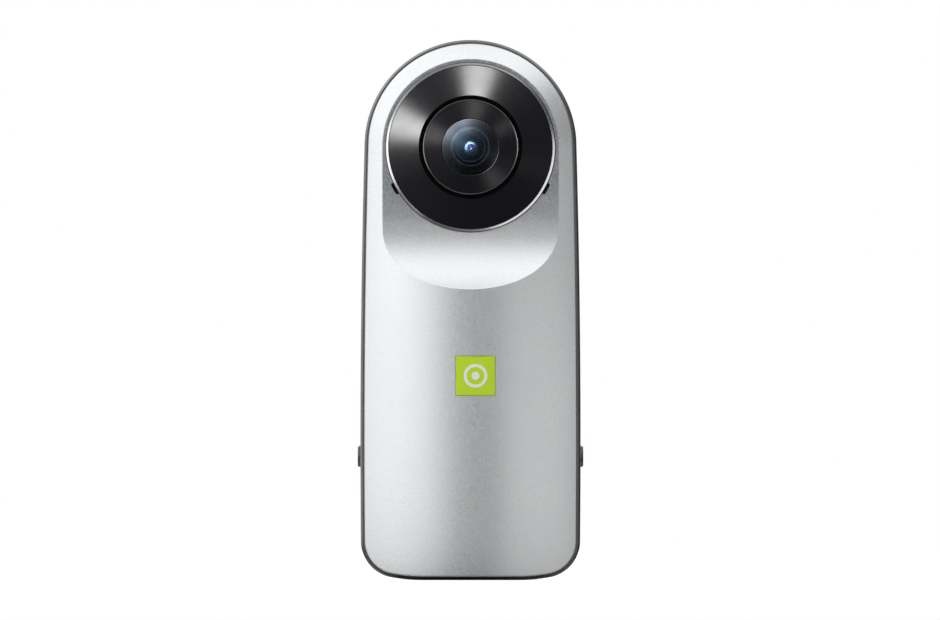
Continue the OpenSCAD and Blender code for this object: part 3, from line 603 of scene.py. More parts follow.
def film(shade):
    """Amber film over copper traces that run along the cable."""
    x, _, _ = shade.place().parts()
    trace = (x * 9000).wave().above(0.4, 0.6)
    return shade.surface({
        "Base Color": trace.blend((0.40, 0.13, 0.015, 1), (0.62, 0.27, 0.05, 1)),
        "Roughness": 0.28 + 0.1 * trace,
        "Normal": trace.bump(0.4, 0.00002),
    })


def woven(shade):
    """Black mesh: two sets of threads that cross."""
    x, _, z = shade.place().parts()
    thread = (x * 60000).wave().most((z * 60000).wave())
    return shade.surface({
        "Base Color": thread.blend(grey(0.002), grey(0.020)),
        "Roughness": 0.8 - 0.2 * thread,
        "Normal": thread.bump(0.5, 0.00002),
    })


def sensor(shade):
    """Sensor face: a dark pixel field that shimmers, inside a plain border."""
    place = shade.place()
    x, _, z = place.parts()
    field = 1 - x.size().most((z - lens_z * MM).size()).above(0.0031, 0.0032)
    pixels = place.noise(500).blend((0.03, 0.05, 0.09, 1), (0.09, 0.05, 0.10, 1))
    return shade.surface({
        "Base Color": field.blend(grey(0.05), pixels),
        "Roughness": 0.35 - 0.22 * field,
        "Metallic": 0.6 * field,
    })


make_finishes(
    board_green=board, battery_foil=foil, cable_amber=film, mesh_black=woven, sensor_face=sensor,
)

# %% [markdown]
# ## Badge
# A square inlay of lime green plastic with a plain white ring and dot printed on it. The print is a mask
# made from the distance to the badge's middle, with a soft edge as wide as ink spreads.

# %% Finish: badge
badge_middle = middle("badge")
badge_w = HIGH["badge"][0] - LOW["badge"][0]
DOT_R = 0.10 * badge_w
PRINT_R = 0.26 * badge_w
PRINT_W = 0.075 * badge_w
INK = 0.03


def badge_print(shade):
    """White ring and dot on green, with a soft step at each radius where the ink ends."""
    place = shade.place()
    radius = place.away(badge_middle[0], badge_middle[2])
    ring = 1 - (radius - PRINT_R).size().above(PRINT_W / 2 - INK, PRINT_W / 2 + INK)
    ink = ring.most(1 - radius.above(DOT_R - INK, DOT_R + INK))
    grain = place.noise(2400, 3.0)
    green = grain.blend((0.535, 0.745, 0.022, 1), (0.600, 0.810, 0.034, 1))
    return shade.surface({
        "Base Color": ink.blend(green, (0.9, 0.9, 0.88, 1)),
        "Roughness": 0.42 + 0.08 * grain - 0.06 * ink,
        "Specular IOR Level": 0.3,
        "Normal": ink.bump(0.3, 0.00003),
    })


make_finishes(badge_green=badge_print)
print(f"badge {badge_w:.2f} wide at x {badge_middle[0]:.2f}, z {badge_middle[2]:.2f}")

# %% [markdown]
# ## Dressing pieces
# Each new piece rides on a body, stands for a node and takes that node's finish. One function says all
# three, so no piece is left without them.

# %% Helper that dresses a piece
SLOT_OF = {row["node"]: row["material_slot"] for row in frame["record"]["subparts"]}
BODY_OF = {node: body for body, nodes in frame["record"]["behaviour"]["bodies"].items() for node in nodes}


def dress(piece, node, finish=None):
    """The piece rides with its node's body, stands for the node and wears its finish or another one."""
    piece.data.materials.clear()
    piece.data.materials.append(finishes[finish or SLOT_OF[node]])
    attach(piece, BODY_OF[node])
    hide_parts(node)
    print(piece.name, len(piece.data.polygons), "faces, for", node)
    return piece


print("slots:", len(set(SLOT_OF.values())))

# %% [markdown]
# ## The outline
# Seen from the front, the body is a ring of arcs that run into each other: an arched top, bowed sides,
# small corners and a base that sweeps up at both ends. Each arc gives its points and its outward
# normals, so the same outline can be drawn in by any amount without a second construction.

# %% Outline of the body


def arc(centre, radius, start, end, count):
    """Points centre + radius (cos a, sin a) with normals (cos a, sin a), for a from start towards end."""
    a = np.radians(np.linspace(start, end, count, endpoint=False))
    normal = np.stack([np.cos(a), np.sin(a)], axis=1)
    return np.asarray(centre) + radius * normal, normal


def crossing(p, p_radius, q, q_radius):
    """Left hand crossing of two circles, seen from p towards q."""
    along = q - p
    length = np.linalg.norm(along)
    reach = (p_radius ** 2 - q_radius ** 2 + length ** 2) / (2 * length)
    u = along / length
    return p + reach * u + math.sqrt(p_radius ** 2 - reach ** 2) * np.array([-u[1], u[0]])


def heading(vector):
    """Direction of a vector, in degrees."""
    return math.degrees(math.atan2(vector[1], vector[0]))


side_r = ((arch_z - WIDEST_Z) ** 2 + half_w ** 2 - ARCH_R ** 2) / (2 * SIDE_BOW)
side_c = np.array([half_w - side_r, WIDEST_Z])
base_c = np.array([BASE_FLAT, BASE_R])
corner_c = crossing(base_c, BASE_R - CORNER_R, side_c, side_r - CORNER_R)
sweep_end = heading(corner_c - base_c)
side_start = heading(corner_c - side_c)
side_end = math.degrees(math.asin((arch_z - WIDEST_Z) / side_r))
LEFT = np.array([-1.0, 1.0])

flat_x = np.linspace(-BASE_FLAT, BASE_FLAT, 14, endpoint=False)
flat = (np.stack([flat_x, 0 * flat_x], axis=1), np.tile([0.0, -1.0], (len(flat_x), 1)))
right = [
    (base_c, BASE_R, -90, sweep_end, 14),
    (corner_c, CORNER_R, sweep_end, side_start, 36),
    (side_c, side_r, side_start, side_end, 72),
]
top = ((0, arch_z), ARCH_R, side_end, 180 - side_end, 168)
left = [(centre * LEFT, r, 180 - end, 180 - start, count) for centre, r, start, end, count in right[::-1]]
runs = [arc(*row) for row in (*right, top, *left)] + [flat]
outline = np.concatenate([points for points, _ in runs])
outward = np.concatenate([normals for _, normals in runs])


def drawn_in(inset):
    """The outline moved inwards by an inset, or by one inset for each point."""
    return outline - np.reshape(inset, (-1, 1)) * outward


print("outline points:", len(outline), "corner centre:", corner_c.round(3))

# %% [markdown]
# ## Cover
# A cover is a crowned skin with a scoop cut into it: a flat floor round the lens and a hollow ramp below.
# It could be cut with a Boolean, but the crease would then shade badly. Here the rows of the grid run
# round the lens: floor, ramp, a narrow band that eases the ridge, the crown, a rounded rim, the wall and
# the inside. Along each ray from the lens axis the ridge is where crown and scoop are equally deep.

# %% Surfaces of the cover
COVER_INSET = 0.70
COVER_WALL = 1.40
RIM_R = 0.13
RIDGE_EASE = 0.05
RIDGE_BAND = 0.30
OPENING_R = 14.2
FURTHEST = 40.0
FOOT_STEP = 0.02
HALVINGS = 40


def crown_depth(x, z):
    """crown_y - R + sqrt(R^2 - x^2 - h^2), where h is the height above the lens axis."""
    height = np.maximum(z - lens_z, 0)
    return crown_y - CROWN_R + np.sqrt(CROWN_R ** 2 - x ** 2 - height ** 2)


def scoop_depth(z):
    """Floor depth, and below the ramp's start floor + r - sqrt(r^2 - drop^2)."""
    drop = np.clip(ramp_z - z, 0, RAMP_R)
    return floor_y + RAMP_R - np.sqrt(RAMP_R ** 2 - drop ** 2)


def skin_depth(x, z):
    """The lesser of crown and scoop, with the ridge eased: mix(b, a, h) - k h (1 - h)."""
    a, b = crown_depth(x, z), scoop_depth(z)
    h = np.clip(0.5 + 0.5 * (b - a) / RIDGE_EASE, 0, 1)
    return b + (a - b) * h - RIDGE_EASE * h * (1 - h)


def ridge_radius(direction):
    """Distance along each ray from the lens axis to the ridge, by halving an interval."""
    low, high = np.full(len(direction), OPENING_R), np.full(len(direction), FURTHEST)
    for _ in range(HALVINGS):
        mid = (low + high) / 2
        x, z = mid * direction[:, 0], lens_z + mid * direction[:, 1]
        inside = crown_depth(x, z) > scoop_depth(z)
        low, high = np.where(inside, mid, low), np.where(inside, high, mid)
    return low


print("ridge eased over", RIDGE_BAND, "mm on each side")

# %% [markdown]
# ## Grid of the cover
# Every row of the grid follows the outline, so the rim needs no cutting. The rows lie closer together at
# the ridge and the rim, where the skin bends most.

# %% Points of the cover


def bunched(count):
    """Numbers from 0 to 1 that lie closer together towards both ends."""
    return 0.5 - 0.5 * np.cos(np.linspace(0, np.pi, count))


def cover_points(side):
    """Rows: floor and ramp, ridge, crown, rim, wall, inner wall, inner skin. Columns follow the outline."""
    lens = np.array([0.0, lens_z])
    rim_start = drawn_in(COVER_INSET + RIM_R)
    ray = rim_start - lens
    direction = ray / np.linalg.norm(ray, axis=1, keepdims=True)
    ridge = ridge_radius(direction)
    floor_rows = OPENING_R + bunched(20)[:-1, None] * (ridge - RIDGE_BAND - OPENING_R)
    ridge_rows = ridge + RIDGE_BAND * np.linspace(-1, 1, 13)[:, None]
    near = lens + np.concatenate([floor_rows, ridge_rows])[:, :, None] * direction
    share = bunched(28)[1:, None, None]
    crown_rows = (1 - share) * near[-1] + share * rim_start
    face = np.concatenate([near, crown_rows])
    face_depth = skin_depth(face[..., 0], face[..., 1])

    turn = np.linspace(0, np.pi / 2, 8)[1:]
    rim = np.stack([drawn_in(COVER_INSET + RIM_R * (1 - s)) for s in np.sin(turn)])
    rim_depth = crown_depth(rim[..., 0], rim[..., 1]) - RIM_R * (1 - np.cos(turn))[:, None]
    fall = np.linspace(0, 1, 4)[1:, None]
    wall = np.repeat(rim[-1:], 3, axis=0)
    wall_depth = rim_depth[-1] + fall * (seat_y - rim_depth[-1])

    inner_edge = drawn_in(COVER_INSET + COVER_WALL)
    back = np.linspace(1, 0, 24)[:, None, None]
    opening = lens + OPENING_R * direction
    inner = opening + back * (inner_edge - opening)
    inner_depth = np.maximum(skin_depth(inner[..., 0], inner[..., 1]) - COVER_WALL, seat_y + FOOT_STEP)
    foot_depth = np.full((1, len(outline)), seat_y)

    flat_rows = np.concatenate([face, rim, wall, inner[:1], inner])
    depth = np.concatenate([face_depth, rim_depth, wall_depth, foot_depth, inner_depth])
    return xyz(flat_rows[..., 0], side * depth, flat_rows[..., 1])


print("cover grid:", cover_points(-1).shape)

# %% [markdown]
# ## Cutting holes
# The microphone slots and the badge's recess are cut with a Boolean, because a hole that does not follow
# the grid would need a grid of its own. The cutters are small grids too: an outline carried along an axis.

# %% Cutters and the cut
STADIUM_TURN = 24


def stadium(straight, radius):
    """Closed path of (u, v): two half circles of a radius, their middles at u = -straight and +straight."""
    a = np.linspace(-np.pi / 2, np.pi / 2, STADIUM_TURN)
    right = np.stack([straight + radius * np.cos(a), radius * np.sin(a)], axis=1)
    return np.concatenate([right, -right])


def rounded_square(half_u, half_v, cut):
    """Closed path of (u, v): a rectangle with its corners eased."""
    signs = ((-1, -1), (1, -1), (1, 1), (-1, 1))
    return eased([(u * half_u, v * half_v, cut) for u, v in signs])


def disc(radius, count=64):
    """Closed round path of (u, v)."""
    a = full_turn(count)
    return radius * np.stack([np.cos(a), np.sin(a)], axis=1)


def prism(path, axis, place, start, end):
    """Flat path of (u, v), moved to a place and swept along an axis from start to end, both ends closed."""
    ends = [np.insert(path + place, axis, depth, axis=1) for depth in (start, end)]
    return solid("cutter", np.stack(ends), caps=True)


SLIVER = 8e-6


def cut(piece, cutters):
    """Takes the cutters out of a piece and removes them, with the slivers that a cut can leave."""
    for cutter in cutters:
        step = piece.modifiers.new("cut", "BOOLEAN")
        step.operation, step.solver, step.object = "DIFFERENCE", "EXACT", cutter
    evaluated = piece.evaluated_get(bpy.context.evaluated_depsgraph_get())
    mesh = bpy.data.meshes.new_from_object(evaluated)
    piece.modifiers.clear()
    piece.data = mesh
    work = bmesh.new()
    work.from_mesh(mesh)
    bmesh.ops.dissolve_degenerate(work, dist=SLIVER, edges=work.edges[:])
    work.to_mesh(mesh)
    work.free()
    smooth(mesh)
    for cutter in cutters:
        bpy.data.objects.remove(cutter)
    return piece


SLOT_L = 2.25
SLOT_W = 0.8
SLOT_ANGLE = 28.8
SLOT_COVERED = 0.3
SLOT_RUN = np.array([4.0, 9.0])
slot_ring = HIGH["front_lens_ring"][0] + SLOT_W / 2 - SLOT_COVERED


def slot_cutters(side):
    """One stadium prism for each microphone slot, long across the ray from the lens axis."""
    path = stadium((SLOT_L - SLOT_W) / 2, SLOT_W / 2)
    made = []
    for angle in np.radians([-SLOT_ANGLE, 180 + SLOT_ANGLE]):
        ray = np.array([math.cos(angle), math.sin(angle)])
        across = np.array([-ray[1], ray[0]])
        flat_path = path[:, :1] * across + (slot_ring + path[:, 1:]) * ray
        made.append(prism(flat_path, 1, (0, lens_z), *(side * SLOT_RUN)))
    return made


def badge_cutter(gap):
    """Room for the badge, a gap wider than it on each side."""
    half = badge_w / 2 + gap
    return prism(rounded_square(half, half, 0.2), 1, badge_middle[[0, 2]], -crown_y - 2, HIGH["badge"][1])


print("slots stand", round(slot_ring, 2), "mm from the lens axis")

# %% [markdown]
# ## Both covers
# The back is the front mirrored, with the slots and without the badge. A mirror modifier would copy the
# badge pocket as well, so each cover is made on its own.

# %% Both covers
SIDES = ((-1, "front"), (1, "rear"))
BADGE_GAP = 0.06
for side, word in SIDES:
    cover = solid(f"{word}_cover_skin", cover_points(side), wrap_rows=True)
    rooms = [badge_cutter(BADGE_GAP)] if word == "front" else []
    dress(cut(cover, slot_cutters(side) + rooms), f"{word}_cover")

# %% [markdown]
# ## Badge inlay
# The badge lies flush in the crown, so its face follows the same curve. Its grid is a rounded square that
# shrinks to the middle, on the face and on the back.

# %% Badge piece
BADGE_EDGE = 0.12
BADGE_T = 0.68
path = rounded_square(1, 1, 0.06)
scale = np.concatenate([np.linspace(0, 1, 16), np.ones(3), np.linspace(1, 0, 6)])
scale[13:16] = [0.965, 0.985, 0.996]
sink = np.concatenate([np.zeros(14), [0.01, 0.04, BADGE_EDGE, 0.3], np.full(7, BADGE_T)])[:, None]
spread = scale[:, None, None] * path * badge_w / 2
x = badge_middle[0] + spread[..., 0]
z = badge_middle[2] + spread[..., 1]
depth = np.where(sink < BADGE_T, crown_depth(x, z) - sink, crown_y - BADGE_T)
dress(solid("badge_inlay", xyz(x, -depth, z)), "badge")

# %% [markdown]
# ## Frame
# The frame is a band that follows the outline. Its profile has a rounded lip at the front and the back,
# which catches a thin line of light all round the covers, and seats for the gaskets. The profile is
# carried along the outline by moving each of its points inwards by its own inset.

# %% Frame band
LIP_T = 0.43
LIP_RUN = 0.37
LIP_FALL = 0.30
FRAME_WALL = 1.7
half_band = np.array([
    (0, LIP_FALL - frame_y, 0.08), (LIP_RUN, -frame_y, 0.05), (LIP_T, -frame_y, 0.05),
    (LIP_T, -frame_seat, 0.05), (FRAME_WALL, -frame_seat, 0.1),
])
band = eased([*half_band, *(half_band * (1, -1, 1))[::-1]])
rows = np.stack([drawn_in(inset) for inset in band[:, 0]])
frame_band = solid("frame_band", xyz(rows[..., 0], band[:, 1:], rows[..., 1]), wrap_rows=True)
print("frame grid:", rows.shape[:2])

# %% [markdown]
# ## Openings in the frame
# The buttons, the status light, the tripod insert and the port door each need a hole through the band.
# Their sizes come from the nodes that fill them, with the gap that lets them move.

# %% Cut the frame
MOVE_GAP = 0.1
SET_GAP = 0.05
DOOR_GAP = 0.12
BUTTON_RIM = 0.7
DOOR_REACH = 11.3
KNUCKLE_R = 0.68
KNUCKLE_GAP = 0.3
KNUCKLE_SHORT = 0.01
NOTCH_R = 0.9
NOTCH_OFF = 0.3
NOTCH_L = 2.4
LIGHT_R = 0.7
INSERT_R = 3.6
THROUGH_SIDE = (14, 24)
THROUGH_BASE = (-2, 3)

button_low, button_high = LOW["shutter_button"], HIGH["shutter_button"]
button_l, button_h = (button_high - button_low)[1:] - 2 * BUTTON_RIM
button_z = middle("shutter_button")[2]
pivot = middle("hinge_pin")[[0, 2]]
door_y = (LOW["port_door"][1], HIGH["port_door"][1])


def door_path(gap):
    """Sector that the door sweeps beside its hinge, as far up as the corner."""
    a = np.arcsin((np.array([-1.0, CORNER_R]) - pivot[1]) / (DOOR_REACH + gap))
    a = np.linspace(a[0], a[1], 24)
    rim = (DOOR_REACH + gap) * np.stack([np.cos(a), np.sin(a)], axis=1)
    return np.concatenate([rim, [[0, CORNER_R - pivot[1]], [0, -1.0 - pivot[1]]]])


pill = stadium((button_l - button_h) / 2, button_h / 2 + MOVE_GAP)
left_in, left_out = -THROUGH_SIDE[0], -THROUGH_SIDE[1]
door_start, door_end = door_y[0] - DOOR_GAP, door_y[1] + DOOR_GAP
notch_at = pivot + (DOOR_REACH + NOTCH_OFF, NOTCH_OFF)
notch_y = middle("port_door")[1]
cut(frame_band, [
    prism(pill, 0, (0, button_z), *THROUGH_SIDE),
    prism(pill, 0, (0, button_z), left_in, left_out),
    prism(disc(LIGHT_R + SET_GAP), 0, middle("status_light")[1:], left_out, left_in),
    prism(door_path(DOOR_GAP), 1, pivot, door_start, door_end),
    prism(disc(KNUCKLE_R + KNUCKLE_GAP), 1, pivot, door_start + KNUCKLE_SHORT, door_end - KNUCKLE_SHORT),
    prism(disc(NOTCH_R), 1, notch_at, notch_y - NOTCH_L / 2, notch_y + NOTCH_L / 2),
    prism(disc(INSERT_R + SET_GAP), 2, (0, 0), *THROUGH_BASE),
])
dress(frame_band, "mid_frame")

# %% [markdown]
# ## Rings round the lens
# Everything round the lens is turned work: a bright ring that covers the edge of the floor, a black cone,
# and a barrel whose face slopes up to the glass. Each is a profile of radius and depth with its corners
# eased. Two thin trims, one on the barrel's edge and one round the glass, catch the finest lines of light.

# %% Bright ring, cone and barrel


def lens_size(name):
    """Outer radius, front and foot of a piece of the lens, the last two as depths from the middle plane."""
    node = f"front_{name}"
    return HIGH[node][0], -LOW[node][1], -HIGH[node][1]


ring_r, ring_top, ring_foot = lens_size("lens_ring")
RING_W = 0.58
RING_FALL = 0.13
RING_FLANK = 0.13
RING_LAND = 0.06
RING_SHOULDER = 0.38
RING_LEDGE = 0.5
SPIGOT_R = 14.1
SPIGOT_IN = 13.35
ring_in = ring_r - RING_W
ring_seat = floor_y + 0.01
ring_ledge = ring_top - RING_LEDGE
ring_profile = eased([
    (SPIGOT_IN, ring_foot, 0.05), (SPIGOT_R, ring_foot, 0.05), (SPIGOT_R, ring_seat, 0.02),
    (ring_r, ring_seat, 0.04), (ring_r, ring_top - RING_SHOULDER, 0.04),
    (ring_r - RING_FLANK, ring_top - RING_FALL, 0.04), (ring_in + RING_LAND, ring_top, 0.02),
    (ring_in, ring_top, 0.02), (ring_in, ring_ledge, 0.05), (SPIGOT_IN, ring_ledge, 0.05),
])

_, cone_top, _ = lens_size("lens_shroud")
CONE_IN = 9.3
CONE_WALL = 1.2
CONE_FIT = 0.02
CONE_LOW = 0.1
cone_r = ring_in - CONE_FIT
cone_edge = ring_top - CONE_LOW
cone_slope = (cone_top - cone_edge) / (cone_r - CONE_IN)
cone_lip = SPIGOT_IN - MOVE_GAP
cone_back = cone_edge + cone_slope * (cone_r - cone_lip) - CONE_WALL
cone_profile = eased([
    (cone_r, ring_ledge, 0.03), (cone_r, cone_edge, 0.06), (CONE_IN, cone_top, 0.008),
    (CONE_IN, cone_top - CONE_WALL, 0.05), (cone_lip, cone_back, 0.05), (cone_lip, ring_ledge, 0.03),
])

foot_r, barrel_top, barrel_foot = lens_size("lens_barrel")
dome_r, dome_apex, dome_seat = lens_size("dome_glass")
_, baffle_top, baffle_seat = lens_size("baffle_ring")
inner_r, inner_apex, inner_seat = lens_size("inner_lens")
field_r, field_apex, field_seat = lens_size("field_lens")
filter_r, filter_y, _ = lens_size("ir_filter")
BARREL_R = 8.55
BARREL_RISE = 0.55
STOP_R = 2.6
FOOT_T = 1.0
CAVITY_R = 6.45
CAVITY_STEP = 0.4
barrel_edge = barrel_top - BARREL_RISE
dome_bore, inner_bore, field_bore, filter_bore = np.array([dome_r, inner_r, field_r, filter_r]) + SET_GAP
barrel_profile = eased([
    (foot_r, barrel_foot, 0.1), (foot_r, barrel_foot + FOOT_T, 0.1), (BARREL_R, barrel_foot + FOOT_T, 0.1),
    (BARREL_R, barrel_edge, 0.14), (dome_bore, barrel_top, 0.16), (dome_bore, baffle_seat, 0.05),
    (inner_bore, baffle_seat, 0.05), (inner_bore, inner_seat, 0.05), (field_bore, inner_seat, 0.05),
    (field_bore, field_seat, 0.05), (STOP_R, field_seat, 0.06), (STOP_R, filter_y, 0.05),
    (filter_bore, filter_y, 0.05), (CAVITY_R, filter_y - CAVITY_STEP, 0.05), (CAVITY_R, barrel_foot, 0.05),
])
BEAD_T = 0.10
WIRE_STEPS = 16
edge_profile = disc(BEAD_T, WIRE_STEPS) + (BARREL_R - BEAD_T - 0.02, barrel_edge + 0.01)
bezel_out, bezel_in = dome_r + 0.22, dome_r + 0.03
bezel_profile = eased([
    (bezel_out, barrel_top - 0.06, 0.005), (bezel_out, barrel_top - 0.02, 0.015),
    (bezel_in, barrel_top - 0.09, 0.02), (bezel_in, barrel_top - 0.30, 0.01),
])
lit = {}


def turn_both(rows):
    """Turns pieces for both lenses from rows of (group, name, profile, node, finish). A piece that has a
    group is kept in it for the lamps."""
    for side, word in SIDES:
        for group, name, profile, node, finish in rows:
            piece = dress(turned(f"{word}_{name}", profile, side), f"{word}_{node}", finish)
            if group:
                lit.setdefault(group, []).append(piece)


turn_both([
    ("ring", "ring_turned", ring_profile, "lens_ring", None),
    ("cone", "cone_spun", cone_profile, "lens_shroud", None),
    ("barrel", "barrel_turned", barrel_profile, "lens_barrel", None),
    ("edge", "barrel_edge", edge_profile, "lens_barrel", "bright_cut"),
    ("bezel", "dome_bezel", bezel_profile, "lens_barrel", "dark_cut"),
])

# %% [markdown]
# ## Glasses
# The dome is a shell between two balls, with a narrow flat rim. Behind it sit a sloped baffle, a coated
# inner lens and the small bead of the deep group, whose coatings give the blue and violet glow.

# %% Dome, baffle and inner glasses
DOME_T = 1.2
DOME_EDGE = 0.85
BAFFLE_IN = 3.26
BAFFLE_LIP = 0.15


def cap_curve(rim, rise, apex, count):
    """Round cap seen in profile, from the axis to the rim: d = apex - ball + sqrt(ball^2 - r^2)."""
    ball = (rim ** 2 + rise ** 2) / (2 * rise)
    r = rim * np.sin(np.linspace(0, np.pi / 2, count))
    return np.stack([r, apex - ball + np.sqrt(ball ** 2 - r ** 2)], axis=1)


outer_cap = cap_curve(dome_r - 0.05, dome_apex - barrel_top - 0.02, dome_apex, 40)
hollow_apex = dome_apex - DOME_T
inner_cap = cap_curve(dome_r - DOME_EDGE, hollow_apex - dome_seat, hollow_apex, 30)
rim_edge = np.array([(dome_r, barrel_top - 0.05), (dome_r, dome_seat)])
dome_profile = np.concatenate([outer_cap, rim_edge, inner_cap[::-1]])

lip_top = baffle_seat + BAFFLE_LIP
baffle_profile = eased([
    (dome_r, baffle_seat, 0.03), (dome_r, baffle_top, 0.03), (dome_r - DOME_EDGE - 0.2, baffle_top, 0.05),
    (BAFFLE_IN, lip_top, 0.04), (BAFFLE_IN, baffle_seat, 0.03),
])

LENS_RISE = 0.5
inner_profile = np.concatenate([
    cap_curve(inner_r, LENS_RISE, inner_apex, 24),
    cap_curve(inner_r, LENS_RISE, inner_seat + LENS_RISE, 24)[::-1],
])

BEAD_R = 1.7
BEAD_RISE = 0.59
bead_foot = field_apex - BEAD_RISE
field_profile = np.array([
    *cap_curve(BEAD_R, BEAD_RISE, field_apex, 24), (field_r - 0.1, bead_foot - 0.05),
    (field_r, bead_foot - 0.15), (field_r, field_seat), (0.0, field_seat),
])
LIP_WIRE = 0.085
BEVEL_R = 2.58
wire = disc(LIP_WIRE, WIRE_STEPS)
lip_profile = wire + (BAFFLE_IN + LIP_WIRE, lip_top)
bevel_profile = wire + (BEVEL_R, bead_foot - 0.03)
turn_both([
    ("dome", "dome_shell", dome_profile, "dome_glass", None),
    (None, "baffle_turned", baffle_profile, "baffle_ring", None),
    (None, "baffle_lip", lip_profile, "baffle_ring", "ground_edge"),
    ("lens", "coated_lens", inner_profile, "inner_lens", None),
    ("bead", "deep_lens", field_profile, "field_lens", "coated_bead"),
    (None, "deep_bevel", bevel_profile, "field_lens", "ground_edge"),
])

# %% [markdown]
# ## Buttons
# A side button is a pill with a rounded face and a flange that keeps it in the frame. Its rows are the
# same stadium, wider or narrower, at steps along its travel.

# %% Side buttons
FLANGE_T = 0.6
FACE_EASE = 0.30
face_x = button_high[0] - button_low[0]
turn = np.linspace(0, np.pi / 2, 7)
face_edge = np.stack([face_x + FACE_EASE * (np.sin(turn) - 1), FACE_EASE * (np.cos(turn) - 1)], axis=1)
button_rows = np.array([
    (0.0, BUTTON_RIM - 0.1), (0.05, BUTTON_RIM - 0.03), (0.15, BUTTON_RIM), (FLANGE_T - 0.1, BUTTON_RIM),
    (FLANGE_T, BUTTON_RIM - 0.1), (FLANGE_T, 0.02), (FLANGE_T + 0.05, 0.0), (face_x - FACE_EASE - 0.1, 0.0),
    *face_edge, (face_x, -0.5), (face_x, -0.9),
])


def button_points(side):
    """Stadium of each row's own reach, set at its step along x."""
    straight = (button_l - button_h) / 2
    path = np.stack([stadium(straight, button_h / 2 + grow) for grow in button_rows[:, 1]])
    return xyz(side * (button_low[0] + button_rows[:, :1]), path[..., 0], button_z + path[..., 1])


for side, word in ((1, "shutter"), (-1, "power")):
    dress(solid(f"{word}_button_cap", button_points(side), caps=True), f"{word}_button")

# %% [markdown]
# ## Port door
# The door is a piece of the same band, drawn in by the gap round it, so closed it carries on the line of
# the base. Its cross section is an eased rectangle carried along the outline, and its hinge barrel is a
# short tube round the pin.

# %% Door and its hinge barrel
DOOR_T = 1.2
DOOR_EASE = 0.2
HINGE_CLEAR = 0.35
END_CLEAR = 0.05
DOOR_ROWS = 48
start = np.argmin(np.hypot(*(outline - (pivot[0] + HINGE_CLEAR, 0)).T))
run = np.roll(outline, -start, axis=0)
normal = np.roll(outward, -start, axis=0)
last = np.argmax(np.hypot(*(run - normal * DOOR_GAP - pivot).T) > DOOR_REACH - END_CLEAR)
step = np.linspace(0, last, DOOR_ROWS)
columns = [np.interp(step, np.arange(len(run)), values)[:, None] for values in (*run.T, *normal.T)]
door_x, door_z, normal_x, normal_z = columns
door_back = DOOR_GAP + DOOR_T
inset, across = eased([
    (DOOR_GAP, door_y[0], DOOR_EASE), (DOOR_GAP, door_y[1], DOOR_EASE),
    (door_back, door_y[1], 0.1), (door_back, door_y[0], 0.1),
]).T
door_points = xyz(door_x - normal_x * inset, across, door_z - normal_z * inset)
door = solid("port_door_skin", door_points, caps=True)
dress(door, "port_door")

PIN_ROOM = 0.40
TUBE_EASE = 0.06
tube = eased([
    (PIN_ROOM, door_y[0], TUBE_EASE), (KNUCKLE_R, door_y[0], TUBE_EASE),
    (KNUCKLE_R, door_y[1], TUBE_EASE), (PIN_ROOM, door_y[1], TUBE_EASE),
])
a = full_turn(48)
r = tube[:, :1]
knuckle_points = xyz(pivot[0] + r * np.cos(a), tube[:, 1:], pivot[1] + r * np.sin(a))
knuckle = solid("door_knuckle", knuckle_points, wrap_rows=True)
dress(knuckle, "port_door")
lit["base"] = [door, knuckle]

# %% [markdown]
# ## Tripod insert
# A nickel plated sleeve with a quarter inch thread of twenty turns to the inch. The thread is real
# shape: the bore's radius rises and falls with the height and the angle, one turn for each pitch.

# %% Threaded insert and its flange
THREAD_R = 2.55
THREAD_DEEP = 0.5
PITCH = 25.4 / 20
THREAD_L = 5.8
THREAD_UP = 0.05
FADE = 0.5
insert_h = HIGH["tripod_insert"][2]
a = full_turn(96)
height = np.linspace(THREAD_L, 0.0, 120)[:, None]
phase = (height / PITCH - a / (2 * np.pi)) % 1.0
fade = np.clip(np.minimum(height, THREAD_L - height) / FADE, 0, 1)
bore = THREAD_R + THREAD_DEEP * fade * np.clip(2.2 * (1 - np.abs(2 * phase - 1)) - 0.45, 0, 1)
roof = np.array([(0.0, THREAD_L + THREAD_UP), (THREAD_R, THREAD_L + THREAD_UP)])
skirt = np.array([
    (THREAD_R + 0.35, 0.0), (INSERT_R - 0.25, 0.0), (INSERT_R - 0.06, 0.0), (INSERT_R - 0.04, 0.06),
    (INSERT_R, 0.25), (INSERT_R, insert_h - 0.2), (INSERT_R - 0.2, insert_h), (0.0, insert_h),
])
radius = np.concatenate([roof[:, :1] + 0 * a, bore, skirt[:, :1] + 0 * a])
level = np.concatenate([roof[:, 1:], height + THREAD_UP, skirt[:, 1:]])
sleeve = solid("tripod_sleeve", xyz(radius * np.cos(a), radius * np.sin(a), level))
dress(sleeve, "tripod_insert")

FLANGE_LOW = 1.7
FLANGE_HIGH = 2.5
square = rounded_square(*HIGH["tripod_insert"][:2], 0.6)
hub = (INSERT_R - 0.02) * square / np.linalg.norm(square, axis=1, keepdims=True)
loop = [(square, FLANGE_LOW), (square, FLANGE_HIGH), (hub, FLANGE_HIGH), (hub, FLANGE_LOW)]
flange_points = np.stack([np.insert(path, 2, z, axis=1) for path, z in loop])
flange = solid("tripod_flange", flange_points, wrap_rows=True)
dress(flange, "tripod_insert")
lit["base"] += [frame_band, sleeve, flange]

# %% [markdown]
# ## Pieces that keep their solid
# The rest of the nodes already have the right shape, so only their material changes.

# %% Dress the other nodes
OTHER_FINISH = {"lens_screws": "screw_black"}
BASE_NODES = ("usb_port", "card_socket", "hinge_pin", "door_seal")
kept = 0
for name, node in frame["nodes"].items():
    if not node.hide_render:
        node.data.materials.clear()
        node.data.materials.append(finishes[OTHER_FINISH.get(name, SLOT_OF[name])])
        lit["base"] += [node] if name in BASE_NODES else []
        kept += 1
print("nodes that keep their solid:", kept)

